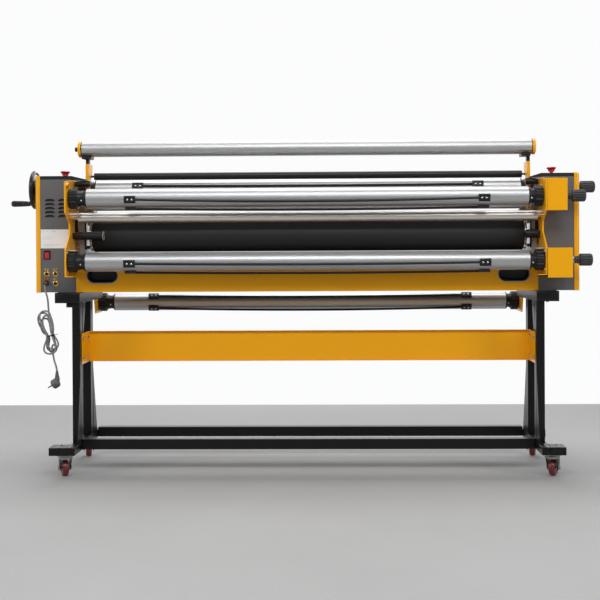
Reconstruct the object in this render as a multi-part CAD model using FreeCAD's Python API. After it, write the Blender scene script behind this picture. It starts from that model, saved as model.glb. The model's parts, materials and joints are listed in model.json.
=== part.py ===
import FreeCAD, Part
import math
import os

# Cold roll laminator on a castor stand, in millimetres.
# X runs along the rollers, Y from the operator's rear side towards the feed side, Z up from the floor.
# Every shape is drawn about the middle of the rollers and moved to the frame's origin when it is saved.

V = FreeCAD.Vector
X_AXIS = V(1, 0, 0)
Y_AXIS = V(0, 1, 0)
Z_AXIS = V(0, 0, 1)

# the frame's origin: below the middle of the machine's overall box
origin_x = -20.0
origin_y = 251.25

# stand
stand_inner = 881.0
post_width = 32.0
stand_outer = stand_inner + post_width
arm_left_outer = 980.0
arm_right_outer = 971.5
rail_left_outer = 978.0
rail_right_outer = 967.5
post_depth = 45.0
front_post_y = 10.0
rear_post_y = 195.0
rail_bottom = 86.0
rail_top = 116.0
rail_front = -100.0
rail_rear = 375.0
caster_arm_depth = 75.0
beam_size = 40.0
front_beam_y = 33.0
rear_beam_y = 326.0
top_rail_bottom = 659.0
top_rail_top = 699.0
top_rail_rear = 440.0
tube_wall = 2.5

# yellow stretcher between the posts
panel_bottom = 418.0
panel_top = 539.0
panel_y = 170.0
panel_front = 31.0
sheet = 1.5

# castors
caster_x = 923.0
front_caster_y = -63.0
rear_caster_y = 337.0
wheel_radius = 32.0
wheel_width = 24.0
caster_trail = 21.0
fork_top = 79.0
fork_half = 21.0
caster_turns = {"front_left": 24.0, "front_right": -28.0, "rear_left": 12.0, "rear_right": -15.0}

# machine body
body_bottom = top_rail_top
body_top = 1142.0
cap_top = 1155.5
cabinet_front = 60.0
cabinet_rear = 500.0
cabinet_left_outer = 1047.0
cabinet_right_outer = 1038.0
cover_left_outer = 1067.0
cover_right_outer = 1060.0
frame_left = (-924.0, -918.0)
frame_right = (905.0, 911.0)
frame_arm_bottom = 761.5
beam_ends = (-907.5, 898.5)
bearing_inner = 878.0
bearing_outer = 900.0
bearing_plate_top = 1040.0
arm_x = (862.0, 874.0)
saddle_left = (-887.0, -850.0)
saddle_right = (839.0, 874.0)
saddle_bottom = 1223.5
table_front = 236.0
table_rear = 480.0
table_top = 853.0
control_panel = (930.0, 1022.0, 940.0, 1090.0)

# brake covers in front of the right cabinet, each as (outer x, front y, bottom, top)
brake_upper = (986.5, -62.0, 1007.0, 1128.5)
brake_lower = (1005.0, -66.0, 752.0, 865.0)

# through-beam safety sensors, in front of the upper roller
sensor_y = 62.0
sensor_z = 920.0
emitter_radius = 15.5
emitter_end = -800.0
receiver_radius = 17.0
receiver_end = 850.0

# hand holes in the rear beam
hand_hole_x = 804.0
hand_hole_z = 762.0
hand_hole_width = 112.0
hand_hole_height = 48.0

# rollers, each as (y, z, radius)
nip_y = 150.0
lower_roller = (nip_y, 789.0, 65.0)
upper_roller = (nip_y, 921.0, 65.0)
idler_roller = (50.0, 990.0, 20.5)
black_roller = (140.0, 1157.0, 14.3)
top_tube = (110.0, 1263.0, 30.5)
top_tube_ends = (-888.0, 880.0)
roller_half = 852.0
shoulder_radius = 62.0
journal_radius = 17.5
journal_end = 904.0
drive_end = 960.0
running_gap = 0.08

# supply and take-up shafts: all four are one design, for 76 mm cores
shaft_radius = 37.0
shaft_half = 847.0
shaft_wall = 4.0
spindle_radius = 12.0
hub_radius = 40.0
hub_left = (-916.0, -884.0)
hub_right = (870.0, 902.0)
collar_radius = 33.0
grip_radius = 4.5
grip_angles = (190.0, 270.0, 10.0)
clip_x = 655.5
clip_length = 43.5
clip_half = 15.0
shafts = {
    "near_upper": (0.0, 1064.0),
    "near_lower": (-20.0, 818.5),
    "far_upper": (181.0, 1107.0),
    "bottom": (555.0, 636.0),
}

# how far each shaft is turned from the one whose grip cord faces the operator
shaft_turns = {"near_upper": 0.0, "near_lower": 0.0, "far_upper": -27.0, "bottom": -50.0}

# roller lift
lift_shaft = (135.0, 1030.0)
lift_shaft_radius = 10.0
lift_pinion_radius = 15.0
handwheel_axis = (180.0, 1107.0)
hand_teeth = 16
lift_teeth = 74
handwheel_radius = 78.0
crank_offset = (-27.0, -56.0)
rim_radius = 8.0
rim_x = -1098.0

# brake knobs: where each one's spindle starts, its grip starts and its grip ends
knob_radius = 23.5
knob_start = 934.0
knob_near_upper = (1015.0, 1069.0)
knob_near_lower = (1040.0, 1089.0)
knob_far_upper = (1088.0, 1146.0)

# drive in the right cabinet
motor_axis = (295.0, 789.0)
motor_pulley_radius = 25.0
roller_pulley_radius = 35.0
belt_gap = 0.3
belt_thickness = 4.0
belt_x = (937.0, 953.0)

# power panel on the left cabinet, each as (x, z)
sockets = [(-1022.0, 772.0), (-987.5, 772.5), (-987.5, 734.5)]
socket_bore = 6.0
socket_depth = 12.0
gland = (-1024.0, 735.5)
rocker = (-1021.0, 845.5)
rocker_pivot_y = 66.0
rocker_tilt = 7.0
estop_x = 966.0
estop_y = 140.0

# mains cord
cord_diameter = 7.0
hank_x = (-1056.0, -980.0)
hank_z = (446.0, 641.0)
hank_y = 33.0
hank_thickness = 34.0


def box(x0, x1, y0, y1, z0, z1):
    return Part.makeBox(x1 - x0, y1 - y0, z1 - z0, V(x0, y0, z0))


def cylinderX(x0, x1, y, z, radius):
    return Part.makeCylinder(radius, x1 - x0, V(x0, y, z), X_AXIS)


def cylinderY(x, y0, y1, z, radius):
    return Part.makeCylinder(radius, y1 - y0, V(x, y0, z), Y_AXIS)


def cylinderZ(x, y, z0, z1, radius):
    return Part.makeCylinder(radius, z1 - z0, V(x, y, z0), Z_AXIS)


def tubeX(x0, x1, y, z, radius, wall):
    return cylinderX(x0, x1, y, z, radius).cut(cylinderX(x0 - 1, x1 + 1, y, z, radius - wall))


def turnedX(profile, y, z):
    """Turn a closed outline of (x, radius) points about the line through y, z along X."""
    points = [V(x, y + radius, z) for x, radius in profile]
    face = Part.Face(Part.makePolygon(points + points[:1]))
    return face.revolve(V(0, y, z), X_AXIS, 360)


def plateX(x0, x1, outline):
    """A flat plate from x0 to x1 with an outline of (y, z) points."""
    points = [V(x0, y, z) for y, z in outline]
    return Part.Face(Part.makePolygon(points + points[:1])).extrude(V(x1 - x0, 0, 0))


def boxTube(x0, x1, y0, y1, z0, z1, along):
    """A square tube, open at both ends along one axis."""
    grow = [tube_wall, tube_wall, tube_wall]
    grow["XYZ".index(along)] = -1.0
    core = box(x0 + grow[0], x1 - grow[0], y0 + grow[1], y1 - grow[1], z0 + grow[2], z1 - grow[2])
    return box(x0, x1, y0, y1, z0, z1).cut(core)


def mirrored(shape):
    return shape.mirror(V(0, 0, 0), X_AXIS)


def bothSides(shape):
    """The shape and its mirror image in the plane X = 0, as separate solids."""
    return [shape, mirrored(shape)]


def save(name, shapes):
    """Write one node: a single solid, or a group of separate solids."""
    solids = shapes if isinstance(shapes, list) else [shapes]
    shape = solids[0] if len(solids) == 1 else Part.makeCompound(solids)
    shape = shape.copy()
    shape.translate(V(-origin_x, -origin_y, 0))
    shape.exportStep("parts/" + name + ".step")


# ---- stand ----

def footRail():
    return boxTube(stand_inner, stand_outer, rail_front, rail_rear, rail_bottom, rail_top, "Y")


def casterArms():
    """Short tubes outwards from the foot rails, one over each castor."""
    arms = []
    for front in (rail_front, rail_rear - caster_arm_depth):
        rear = front + caster_arm_depth
        arms.append(boxTube(-arm_left_outer, -stand_outer, front, rear, rail_bottom, rail_top, "X"))
        arms.append(boxTube(stand_outer, arm_right_outer, front, rear, rail_bottom, rail_top, "X"))
    return arms


def standPosts():
    posts = []
    for y in (front_post_y, rear_post_y):
        post = boxTube(stand_inner, stand_outer, y, y + post_depth, rail_top, top_rail_bottom, "Z")
        posts += bothSides(post)
    return posts


def postGussets():
    """Thin tapered plates in line with the posts' inner faces, widest at the foot and the top rail."""
    thickness = 4.0
    foot_reach = 60.0
    foot_height = 274.0
    top_reach = 52.0
    top_height = 165.0
    rear_reach = 72.0
    back = rear_post_y + post_depth
    outlines = [
        [(front_post_y, rail_top), (front_post_y - foot_reach, rail_top), (front_post_y, rail_top + foot_height)],
        [(front_post_y, top_rail_bottom - top_height), (front_post_y - 8.0, top_rail_bottom - 40.0),
         (front_post_y - 8.0, top_rail_bottom), (front_post_y, top_rail_bottom)],
        [(back, rail_top), (back + rear_reach, rail_top), (back, rail_top + foot_height)],
        [(front_post_y + post_depth, top_rail_bottom), (front_post_y + post_depth + top_reach, top_rail_bottom),
         (front_post_y + post_depth, top_rail_bottom - top_height)],
    ]
    plates = []
    for outline in outlines:
        plates += bothSides(plateX(stand_inner, stand_inner + thickness, outline))
    return plates


def topRails():
    front = front_post_y - 8.0
    left = boxTube(-rail_left_outer, -stand_inner, front, top_rail_rear, top_rail_bottom, top_rail_top, "Y")
    right = boxTube(stand_inner, rail_right_outer, front, top_rail_rear, top_rail_bottom, top_rail_top, "Y")
    return [left, right]


def crossBeam(y):
    return boxTube(-stand_inner, stand_inner, y, y + beam_size, rail_bottom, rail_bottom + beam_size, "X")


def stretcherPanel():
    """A folded channel: a tall face, two side flanges forward to the front posts and two narrow lips."""
    lip = 14.0
    half = stand_inner
    face = box(-half, half, panel_y - sheet, panel_y, panel_bottom, panel_top)
    sides = [box(-half, -half + sheet, panel_front, panel_y, panel_bottom, panel_top)]
    sides.append(box(half - sheet, half, panel_front, panel_y, panel_bottom, panel_top))
    sides.append(box(-half, half, panel_y - lip, panel_y, panel_bottom, panel_bottom + sheet))
    sides.append(box(-half, half, panel_y - lip, panel_y, panel_top - sheet, panel_top))
    for side in sides:
        face = face.fuse(side)
    return face.removeSplitter()


# ---- castors ----

def casterPlate(x, y):
    plate = box(x - 28, x + 28, y - 28, y + 28, fork_top + 3.0, rail_bottom)
    return plate.fuse(cylinderZ(x, y, fork_top - 7.0, fork_top + 3.0, 6.0))


def casterFork(x, y, turn):
    """A bridge on the king pin with two cheeks down to the axle; the wheel trails behind the pin."""
    cheek = 3.0
    bridge = cylinderZ(x, y, fork_top - 8.0, fork_top, 24.0)
    bridge = bridge.fuse(box(x - fork_half, x + fork_half, y - 8, y + caster_trail, fork_top - 8.0, fork_top - 4.0))
    bridge = bridge.cut(cylinderZ(x, y, fork_top - 9.0, fork_top + 1.0, 6.0 + running_gap))
    outline = [(y - 14, fork_top - 4), (y + 36, fork_top - 4), (y + caster_trail + 13, wheel_radius),
               (y + caster_trail + 6, wheel_radius - 10), (y + caster_trail - 6, wheel_radius - 10)]
    for side in (x - fork_half, x + fork_half - cheek):
        bridge = bridge.fuse(plateX(side, side + cheek, outline))
    axle = cylinderX(x - fork_half - 3, x + fork_half + 3, y + caster_trail, wheel_radius, 4.0)
    fork = bridge.fuse(axle).removeSplitter()
    fork.rotate(V(x, y, 0), Z_AXIS, turn)
    return fork


def casterWheel(x, y, turn):
    half = wheel_width / 2
    edge = 5.0
    profile = [(x - half, 4.0 + running_gap), (x - half, wheel_radius - edge), (x - half + edge, wheel_radius),
               (x + half - edge, wheel_radius), (x + half, wheel_radius - edge), (x + half, 4.0 + running_gap)]
    wheel = turnedX(profile, y + caster_trail, wheel_radius)
    wheel.rotate(V(x, y, 0), Z_AXIS, turn)
    return wheel


def casterPlaces():
    places = {}
    for name, turn in caster_turns.items():
        x = caster_x if name.endswith("right") else -caster_x
        y = front_caster_y if name.startswith("front") else rear_caster_y
        places[name] = (x, y, turn)
    return places


# ---- machine frame ----

def sideFrame(x0, x1):
    """A yellow side plate with two arms forward for the near shafts and a tail for the bottom shaft."""
    top = body_top - 4.0
    low = frame_arm_bottom
    outline = [(-60, 1127), (-60, 1007), (10, 968), (10, 926), (-60, 868), (-60, low), (62, low),
               (62, body_bottom), (446, body_bottom), (480, 590), (600, 590), (600, 700), (498, 770),
               (498, top), (62, top)]
    plate = plateX(x0, x1, outline)
    for y, z in shafts.values():
        plate = plate.cut(cylinderX(x0 - 1, x1 + 1, y, z, spindle_radius + running_gap))
    plate = plate.cut(cylinderX(x0 - 1, x1 + 1, idler_roller[0], idler_roller[1], 8.0 + running_gap))
    plate = plate.cut(cylinderX(x0 - 1, x1 + 1, lower_roller[0], lower_roller[1], 24.0))
    plate = plate.cut(cylinderX(x0 - 1, x1 + 1, lift_shaft[0], lift_shaft[1], lift_shaft_radius + 1.0))
    shelf = 26.0
    inner = x1 if x0 < 0 else x0 - shelf
    for z in (990.0, low):
        plate = plate.fuse(box(inner, inner + shelf, -60 if z < 900 else -22, 10, z, z + 3.0))
    return plate.removeSplitter()


def bearingPlate():
    """A thick plate with the lower roller's bore and an open slot that guides the lifting block."""
    slot_half = 40.2
    slot_bottom = 868.0
    plate = box(bearing_inner, bearing_outer, 88, 330, body_bottom, bearing_plate_top)
    slot = box(bearing_inner - 1, bearing_outer + 1, nip_y - slot_half, nip_y + slot_half,
               slot_bottom, bearing_plate_top + 1)
    bore = cylinderX(bearing_inner - 1, bearing_outer + 1, nip_y, lower_roller[1], journal_radius + running_gap)
    return plate.cut(slot).cut(bore)


def rearBeam():
    """The yellow cross member under the near lower shaft, with an oval hand hole near each end."""
    left = frame_left[1]
    right = frame_right[0]
    plate = 4.0
    top = 799.0
    back = cabinet_front + plate
    beam = box(beam_ends[0], beam_ends[1], cabinet_front, back, body_bottom, top)
    beam = beam.fuse(box(left, right, back, back + 12, top - plate, top))
    beam = beam.fuse(box(left, right, back, back + 21, body_bottom, body_bottom + plate))
    for x0, x1 in ((left, left + 30), (right - 30, right)):
        beam = beam.fuse(box(x0, x1, back, back + plate, body_bottom, top))
    for x in (-hand_hole_x, hand_hole_x):
        beam = beam.cut(oval(x, hand_hole_z, hand_hole_width, hand_hole_height, cabinet_front - 1, 6.0))
    return beam.removeSplitter()


def oval(x, z, width, height, y, depth):
    """A rounded-end prism along Y."""
    radius = height / 2
    half = width / 2 - radius
    middle = box(x - half, x + half, y, y + depth, z - radius, z + radius)
    ends = [cylinderY(x - half, y, y + depth, z, radius), cylinderY(x + half, y, y + depth, z, radius)]
    return middle.multiFuse(ends).removeSplitter()


def beamCup(x):
    """A black plastic hand cup: a lip round the hole and a closed pocket behind it."""
    lip = oval(x, hand_hole_z, hand_hole_width + 9, hand_hole_height + 9, cabinet_front - 2.5, 2.5)
    pocket = oval(x, hand_hole_z, hand_hole_width - 1, hand_hole_height - 1, cabinet_front - 2.5, 24.0)
    inside = oval(x, hand_hole_z, hand_hole_width - 5, hand_hole_height - 5, cabinet_front - 3.0, 22.0)
    return lip.fuse(pocket).cut(inside)


def cabinet(x0, x1, beam_end):
    """Front, rear and bottom sheets of one end cabinet; a tab reaches in below the side frame's arm to the beam."""
    tab_top = frame_arm_bottom - 0.5
    front = box(x0, x1, cabinet_front, cabinet_front + sheet, body_bottom, body_top)
    low, high = (x1, beam_end) if x0 < 0 else (beam_end, x0)
    front = front.fuse(box(low, high, cabinet_front, cabinet_front + sheet, body_bottom, tab_top)).removeSplitter()
    rear = box(x0, x1, cabinet_rear - sheet, cabinet_rear, body_bottom, body_top)
    floor = box(x0, x1, cabinet_front + sheet, cabinet_rear - sheet, body_bottom, body_bottom + sheet)
    return front, rear, floor


def louvre(x, z):
    """A slot with a flat sill and an arched top."""
    outline = [(-18, -3.5), (18, -3.5), (17, 1.0), (13, 4.5), (7, 5.5), (-7, 5.5), (-13, 4.5), (-17, 1.0)]
    points = [V(x + a, cabinet_front - 1, z + b) for a, b in outline]
    return Part.Face(Part.makePolygon(points + points[:1])).extrude(V(0, sheet + 2, 0))


def louvreSlots(front):
    first_z = 997.0
    pitch = 15.6
    for x in (-1009.0, -957.0):
        for row in range(5):
            z = first_z + row * pitch
            front = front.cut(louvre(x, z))
    return front


def leftCabinet():
    front, rear, floor = cabinet(-cabinet_left_outer, frame_left[0], beam_ends[0] - 0.5)
    front = louvreSlots(front)
    holes = [cylinderY(x, cabinet_front - 1, cabinet_front + sheet + 1, z, 10.0) for x, z in sockets]
    holes.append(cylinderY(gland[0], cabinet_front - 1, cabinet_front + sheet + 1, gland[1], 7.0))
    x, z = rocker
    holes.append(box(x - 11.5, x + 11.5, cabinet_front - 1, cabinet_front + sheet + 1, z - 15, z + 15))
    for hole in holes:
        front = front.cut(hole)
    return [front, rear, floor]


def rightCabinet():
    return list(cabinet(frame_right[1], cabinet_right_outer, beam_ends[1] + 0.5))


def topCap(inner, outer):
    """A flat lid on a cabinet; a short lip in front slopes down inwards."""
    lid = box(inner, outer, cabinet_front, cabinet_rear, body_top, cap_top)
    points = [(inner, body_top), (inner, cap_top), (866.0, cap_top - 14.0), (866.0, body_top - 5.0)]
    wire = Part.makePolygon([V(x, cabinet_front, z) for x, z in points + points[:1]])
    lip = Part.Face(wire).extrude(V(0, 12.0, 0))
    stem = cylinderZ(estop_x, estop_y, body_top - 1, cap_top + 1, 9.0)
    return lid.fuse(lip).cut(stem).removeSplitter()


def endCover(inner_x, outer_x, wall):
    """A tray that closes the cabinet's outer side, with rounded front, rear and top edges."""
    low = V(inner_x, cabinet_front - 1, body_bottom - 1)
    tray = Part.makeBox(outer_x - inner_x, cabinet_rear - cabinet_front + 2, cap_top + 1 - low.z, low)
    edges = []
    for edge in tray.Edges:
        centre = edge.CenterOfMass
        if centre.x > outer_x - 1 and centre.z > body_bottom:
            edges.append(edge)
    tray = tray.makeFillet(12.0, edges)
    inner = box(inner_x - 1, outer_x - wall, cabinet_front + 3, cabinet_rear - 3,
                body_bottom + 3, cap_top - 3)
    return tray.cut(inner)


def endCovers():
    left = mirrored(endCover(cabinet_left_outer, cover_left_outer, 3.0))
    y, z = handwheel_axis
    left = left.cut(cylinderX(-cover_left_outer - 1, -cabinet_left_outer + 1, y, z, 11.0))
    y, z = shafts["far_upper"]
    right = endCover(cabinet_right_outer, cover_right_outer, 3.0)
    right = right.cut(cylinderX(cabinet_right_outer - 1, cover_right_outer + 1, y, z, 9.0))
    return [left, right]


def brakeBox(extent, shaft_place):
    """A folded cover in front of the right cabinet over a shaft brake, open at the back and inside."""
    x1, front, z0, z1 = extent
    x0 = frame_right[1]
    cover = box(x0, x1, front, cabinet_front, z0, z1)
    cover = cover.cut(box(x0 - 1, x1 - sheet, front + sheet, cabinet_front + 1, z0 + sheet, z1 - sheet))
    return cover.cut(cylinderX(x1 - 10, x1 + 10, shaft_place[0], shaft_place[1], 9.0))


def rollerArm():
    """A yellow plate bolted to the bearing plate; it carries the black roller and the top tube's saddle."""
    front = 90.0
    foot_rear = 122.0
    foot = 1003.0
    top = 1204.0
    outline = [(front, foot), (foot_rear, foot), (foot_rear, 1120), (138, 1146), (165, 1158), (165, top), (front, top)]
    plate = plateX(arm_x[0], arm_x[1], outline)
    plate = plate.fuse(box(arm_x[1], bearing_inner, front, foot_rear, foot, foot + 27))
    plate = plate.cut(cylinderX(arm_x[0] - 1, arm_x[1] + 1, black_roller[0], black_roller[1], 4.0 + running_gap))
    return plate.removeSplitter()


def tubeSaddle(x0, x1):
    """A black cradle open at the top, on a short neck above the roller arm."""
    y, z, radius = top_tube
    block = box(x0, x1, y - 30, y + 30, saddle_bottom, 1240)
    block = block.cut(cylinderX(x0 - 1, x1 + 1, y, z, radius + 0.4))
    middle = (arm_x[0] + arm_x[1]) / 2
    middle = middle if x0 > 0 else -middle
    neck = box(middle - 6, middle + 6, y - 14, y + 14, 1204, saddle_bottom)
    return block.fuse(neck).removeSplitter()


def feedTable():
    plate = 3.0
    lip = 30.0
    under = table_top - plate
    table = box(-bearing_inner, bearing_inner, table_front, table_rear, under, table_top)
    lip = box(-bearing_inner, bearing_inner, table_rear - plate, table_rear, under - lip, under)
    return table.fuse(lip).removeSplitter()


# ---- rollers ----

def hollowRoller(half, radius, wall, left_end, right_end, journal, bore):
    """A tube with closed ends and journals, turned in one piece round an axial bore."""
    disc = 14.0
    return [(left_end, bore), (left_end, journal), (-half, journal), (-half, radius), (half, radius),
            (half, journal), (right_end, journal), (right_end, bore), (half - disc, bore),
            (half - disc, radius - wall), (-half + disc, radius - wall), (-half + disc, bore)]


def rollerCore(place, left_end, right_end):
    profile = hollowRoller(roller_half + 10, 55.0, 7.0, left_end, right_end, journal_radius, 5.0)
    core = turnedX(profile, place[0], place[1])
    for side in (-1, 1):
        x0 = roller_half + 0.2 if side > 0 else -roller_half - 9.8
        core = core.fuse(cylinderX(x0, x0 + 9.6, place[0], place[1], shoulder_radius))
        core = core.cut(cylinderX(x0 - 20, x0 + 30, place[0], place[1], 5.0))
    return core.removeSplitter()


def rollerRubber(place):
    return tubeX(-roller_half, roller_half, place[0], place[1], place[2], 10.0)


def pulley(place, radius, x0, x1, bore):
    return cylinderX(x0, x1, place[0], place[1], radius).cut(cylinderX(x0 - 1, x1 + 1, place[0], place[1], bore))


def bearingBlocks():
    """Sliding blocks for the upper roller, each with a rack up to the lift shaft's pinion."""
    y, z = upper_roller[0], upper_roller[1]
    block = box(bearing_inner, bearing_outer, y - 40, y + 40, z - 40, z + 40)
    block = block.cut(cylinderX(bearing_inner - 1, bearing_outer + 1, y, z, journal_radius + running_gap))
    face = lift_shaft[0] + lift_pinion_radius + 0.4
    rack = box(884, 894, face, face + 11, z + 40, lift_shaft[1] + 2)
    return bothSides(block.fuse(rack).removeSplitter())


def liftShaft():
    y, z = lift_shaft
    shaft = cylinderX(-962, frame_right[1], y, z, lift_shaft_radius)
    for x in (-894, 884):
        shaft = shaft.fuse(cylinderX(x, x + 10, y, z, lift_pinion_radius))
    centres = math.hypot(handwheel_axis[0] - y, handwheel_axis[1] - z)
    gear_radius = centres * lift_teeth / (hand_teeth + lift_teeth) - 0.2
    return shaft.fuse(cylinderX(-950, -938, y, z, gear_radius)).removeSplitter()


def idler():
    y, z, radius = idler_roller
    profile = hollowRoller(893.0, radius, 2.5, -921.0, 908.0, 8.0, 3.0)
    return turnedX(profile, y, z)


def blackRoller():
    y, z, radius = black_roller
    profile = hollowRoller(849.0, radius, 3.0, -872.0, 872.0, 4.0, 1.5)
    return turnedX(profile, y, z)


def topTube():
    y, z, radius = top_tube
    return tubeX(top_tube_ends[0], top_tube_ends[1], y, z, radius, 2.5)


def topTubeCap(end):
    """A flanged plug in the right end of the top tube, with the tube's end at X = end."""
    y, z, radius = top_tube
    plug = [(end - 13, 0), (end - 13, radius - 2.5), (end, radius - 2.5), (end, radius + 1.5),
            (end + 13.5, radius + 1.5), (end + 16.5, radius - 2), (end + 16.5, 0)]
    return turnedX(plug, y, z)


def topTubeCaps():
    """Both end plugs; the left one carries a short pin."""
    y, z, radius = top_tube
    right = topTubeCap(top_tube_ends[1])
    left = mirrored(topTubeCap(-top_tube_ends[0])).fuse(cylinderX(-919, -903, y, z, 9.0))
    return [left, right]


# ---- supply and take-up shafts ----

def gripShaft(place):
    """An aluminium tube with a steel spindle through it, running in both side plates."""
    y, z = place
    profile = [(-922, 4), (-922, spindle_radius), (-shaft_half, spindle_radius), (-shaft_half, shaft_radius),
               (shaft_half, shaft_radius), (shaft_half, spindle_radius), (925, spindle_radius), (925, 4),
               (shaft_half - 12, 4), (shaft_half - 12, shaft_radius - shaft_wall),
               (-shaft_half + 12, shaft_radius - shaft_wall), (-shaft_half + 12, 4)]
    return turnedX(profile, y, z)


def ribbedHub(x0, x1, place):
    """A hand-grip drum with lengthwise flutes on a narrower collar next to the tube."""
    y, z = place
    flutes = 16
    drum = cylinderX(x0, x1, y, z, hub_radius)
    cutters = []
    for index in range(flutes):
        angle = 2 * math.pi * index / flutes
        place_y = y + (hub_radius + 1.5) * math.cos(angle)
        place_z = z + (hub_radius + 1.5) * math.sin(angle)
        cutters.append(cylinderX(x0 - 1, x1 + 1, place_y, place_z, 4.0))
    drum = drum.cut(Part.makeCompound(cutters))
    inner, outer = (x1, -shaft_half - 0.3) if x0 < 0 else (shaft_half + 0.3, x0)
    hub = drum.fuse(cylinderX(inner, outer, y, z, collar_radius))
    return hub.cut(cylinderX(x0 - 60, x1 + 60, y, z, spindle_radius))


def gripCord(place, angle, radius):
    """A rubber grip cord along the tube, held by a clip near each end."""
    y = place[0] + (shaft_radius + radius + 0.3) * math.cos(angle)
    z = place[1] + (shaft_radius + radius + 0.3) * math.sin(angle)
    return cylinderX(-clip_x, clip_x, y, z, radius)


def cordClip(place, angle, side):
    """A low moulded saddle over the cord's end, hollowed to sit on the tube."""
    x0 = clip_x if side > 0 else -clip_x - clip_length
    x1 = x0 + clip_length
    y0 = place[0] + shaft_radius
    clip = box(x0, x1, y0, y0 + 9, place[1] - clip_half, place[1] + clip_half)
    clip = clip.cut(cylinderX(x0 - 1, x1 + 1, place[0], place[1], shaft_radius))
    clip.rotate(V(0, place[0], place[1]), X_AXIS, angle)
    return clip


def shaftChucks(place, turn):
    """Everything gripping on one tube: both hubs, three cords and their six clips."""
    pieces = [ribbedHub(*hub_left, place), ribbedHub(*hub_right, place)]
    for base in grip_angles:
        angle = base + turn
        pieces.append(gripCord(place, math.radians(angle), grip_radius))
        for side in (-1, 1):
            pieces.append(cordClip(place, angle, side))
    return pieces


# ---- controls ----

def tensionKnob(place, grip):
    """A fluted knob with a domed end on a collar and a spindle to the brake."""
    y, z = place
    x0 = knob_start
    collar, x1 = grip
    radius = knob_radius
    profile = [(x0, 0), (x0, 8.0), (collar - 20, 8.0), (collar - 20, 13.0), (collar, 13.0), (collar, radius),
               (x1 - 6, radius), (x1 - 2, radius - 2.5), (x1, radius - 7), (x1, 0)]
    knob = turnedX(profile, y, z)
    cutters = []
    for index in range(12):
        angle = 2 * math.pi * index / 12
        place_y = y + (radius + 1.2) * math.cos(angle)
        place_z = z + (radius + 1.2) * math.sin(angle)
        cutters.append(cylinderX(collar - 1, x1 - 8, place_y, place_z, 2.6))
    return knob.cut(Part.makeCompound(cutters))


def handwheel():
    """A dished wheel on a shaft that carries the small gear, with a pin for the crank grip."""
    y, z = handwheel_axis
    rim = Part.makeTorus(handwheel_radius - rim_radius, rim_radius, V(rim_x, y, z), X_AXIS)
    disc = cylinderX(rim_x - 2, rim_x + 3, y, z, handwheel_radius - rim_radius)
    hub = cylinderX(-1110, -1072, y, z, 20.0)
    shaft = cylinderX(-1110, -936, y, z, 10.0)
    centres = math.hypot(y - lift_shaft[0], z - lift_shaft[1])
    gear = cylinderX(-950, -938, y, z, centres * hand_teeth / (hand_teeth + lift_teeth) - 0.2)
    pin_y = y + crank_offset[0]
    pin_z = z + crank_offset[1]
    pin = cylinderX(-1184, -1096, pin_y, pin_z, 4.0)
    boss = cylinderX(-1109, -1095, pin_y, pin_z, 9.0)
    return rim.multiFuse([disc, hub, shaft, gear, pin, boss]).removeSplitter()


def crankGrip():
    y = handwheel_axis[0] + crank_offset[0]
    z = handwheel_axis[1] + crank_offset[1]
    bore = 4.0 + running_gap
    profile = [(-1186, bore), (-1186, 9.0), (-1182, 11.8), (-1170, 12.2), (-1120, 10.2), (-1109.5, 8.6), (-1109.5, bore)]
    return turnedX(profile, y, z)


def estopHead(x, raised):
    """A red mushroom head with a flared rim on a stem."""
    z = cap_top
    head = [(12.5, 6), (13.5, 13), (19.5, 19), (19.5, 22), (15, 24.5), (0, 24.5)]
    points = [V(x, estop_y, z - 22), V(x + 7, estop_y, z - 22), V(x + 7, estop_y, z + 6 + raised)]
    points += [V(x + r, estop_y, z + h + raised) for r, h in head]
    face = Part.Face(Part.makePolygon(points + points[:1]))
    return face.revolve(V(x, estop_y, z), Z_AXIS, 360)


def rockerKey():
    """A rocker with two faces that meet in a shallow valley, tipped to one side about its pivot."""
    x, z = rocker
    front = cabinet_front - 5.5
    outline = [(front, z - 12), (front + 3.2, z), (front, z + 12), (front + 5, z + 12.6),
               (front + 14, z), (front + 5, z - 12.6)]
    key = plateX(x - 8.5, x + 8.5, outline).fuse(cylinderX(x - 8.9, x + 8.9, rocker_pivot_y, z, 1.5))
    key.rotate(V(x, rocker_pivot_y, z), X_AXIS, rocker_tilt)
    return key


def rockerBezel():
    x, z = rocker
    front = cabinet_front
    frame = box(x - 13.5, x + 13.5, front - 2, front, z - 17.5, z + 17.5)
    body = box(x - 11, x + 11, front, front + 18, z - 14.5, z + 14.5)
    return frame.fuse(body).cut(box(x - 9, x + 9, front - 3, front + 15, z - 13.6, z + 13.6))


def socketFitting(x, z):
    """A round panel socket with a flange, a collar and a plug hole."""
    front = cabinet_front
    fitting = cylinderY(x, front - 1.5, front, z, 13.0)
    fitting = fitting.fuse(box(x - 8, x + 8, front - 1.5, front, z, z + 19))
    fitting = fitting.fuse(cylinderY(x, front - 7, front + 12, z, 9.0))
    bore = Part.makeCylinder(socket_bore, socket_depth, V(x, front - 7, z), Y_AXIS)
    return fitting.cut(bore).removeSplitter()


def cordGland():
    x, z = gland
    front = cabinet_front
    gland_body = cylinderY(x, front - 9, front + 10, z, 6.9).fuse(cylinderY(x, front - 5, front, z, 11.0))
    return gland_body.removeSplitter()


def safetySensors():
    """A through-beam pair in front of the upper roller: a long emitter and a short receiver."""
    y, z = sensor_y, sensor_z
    emitter = cylinderX(-911, emitter_end, y, z, emitter_radius)
    emitter = emitter.fuse(cylinderX(emitter_end, emitter_end + 3, y, z, emitter_radius + 2.5))
    receiver = cylinderX(receiver_end, 894, y, z, receiver_radius)
    left_stay = box(frame_left[1], -911, y - 12, y + 12, z - 12, z + 12)
    right_stay = box(894, frame_right[0], y - 12, y + 12, z - 12, z + 12)
    return [emitter.fuse(left_stay).removeSplitter(), receiver.fuse(right_stay).removeSplitter()]


def controlPanel():
    x0, x1, z0, z1 = control_panel
    return box(x0, x1, cabinet_rear, cabinet_rear + 5, z0, z1)


# ---- drive ----

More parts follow.
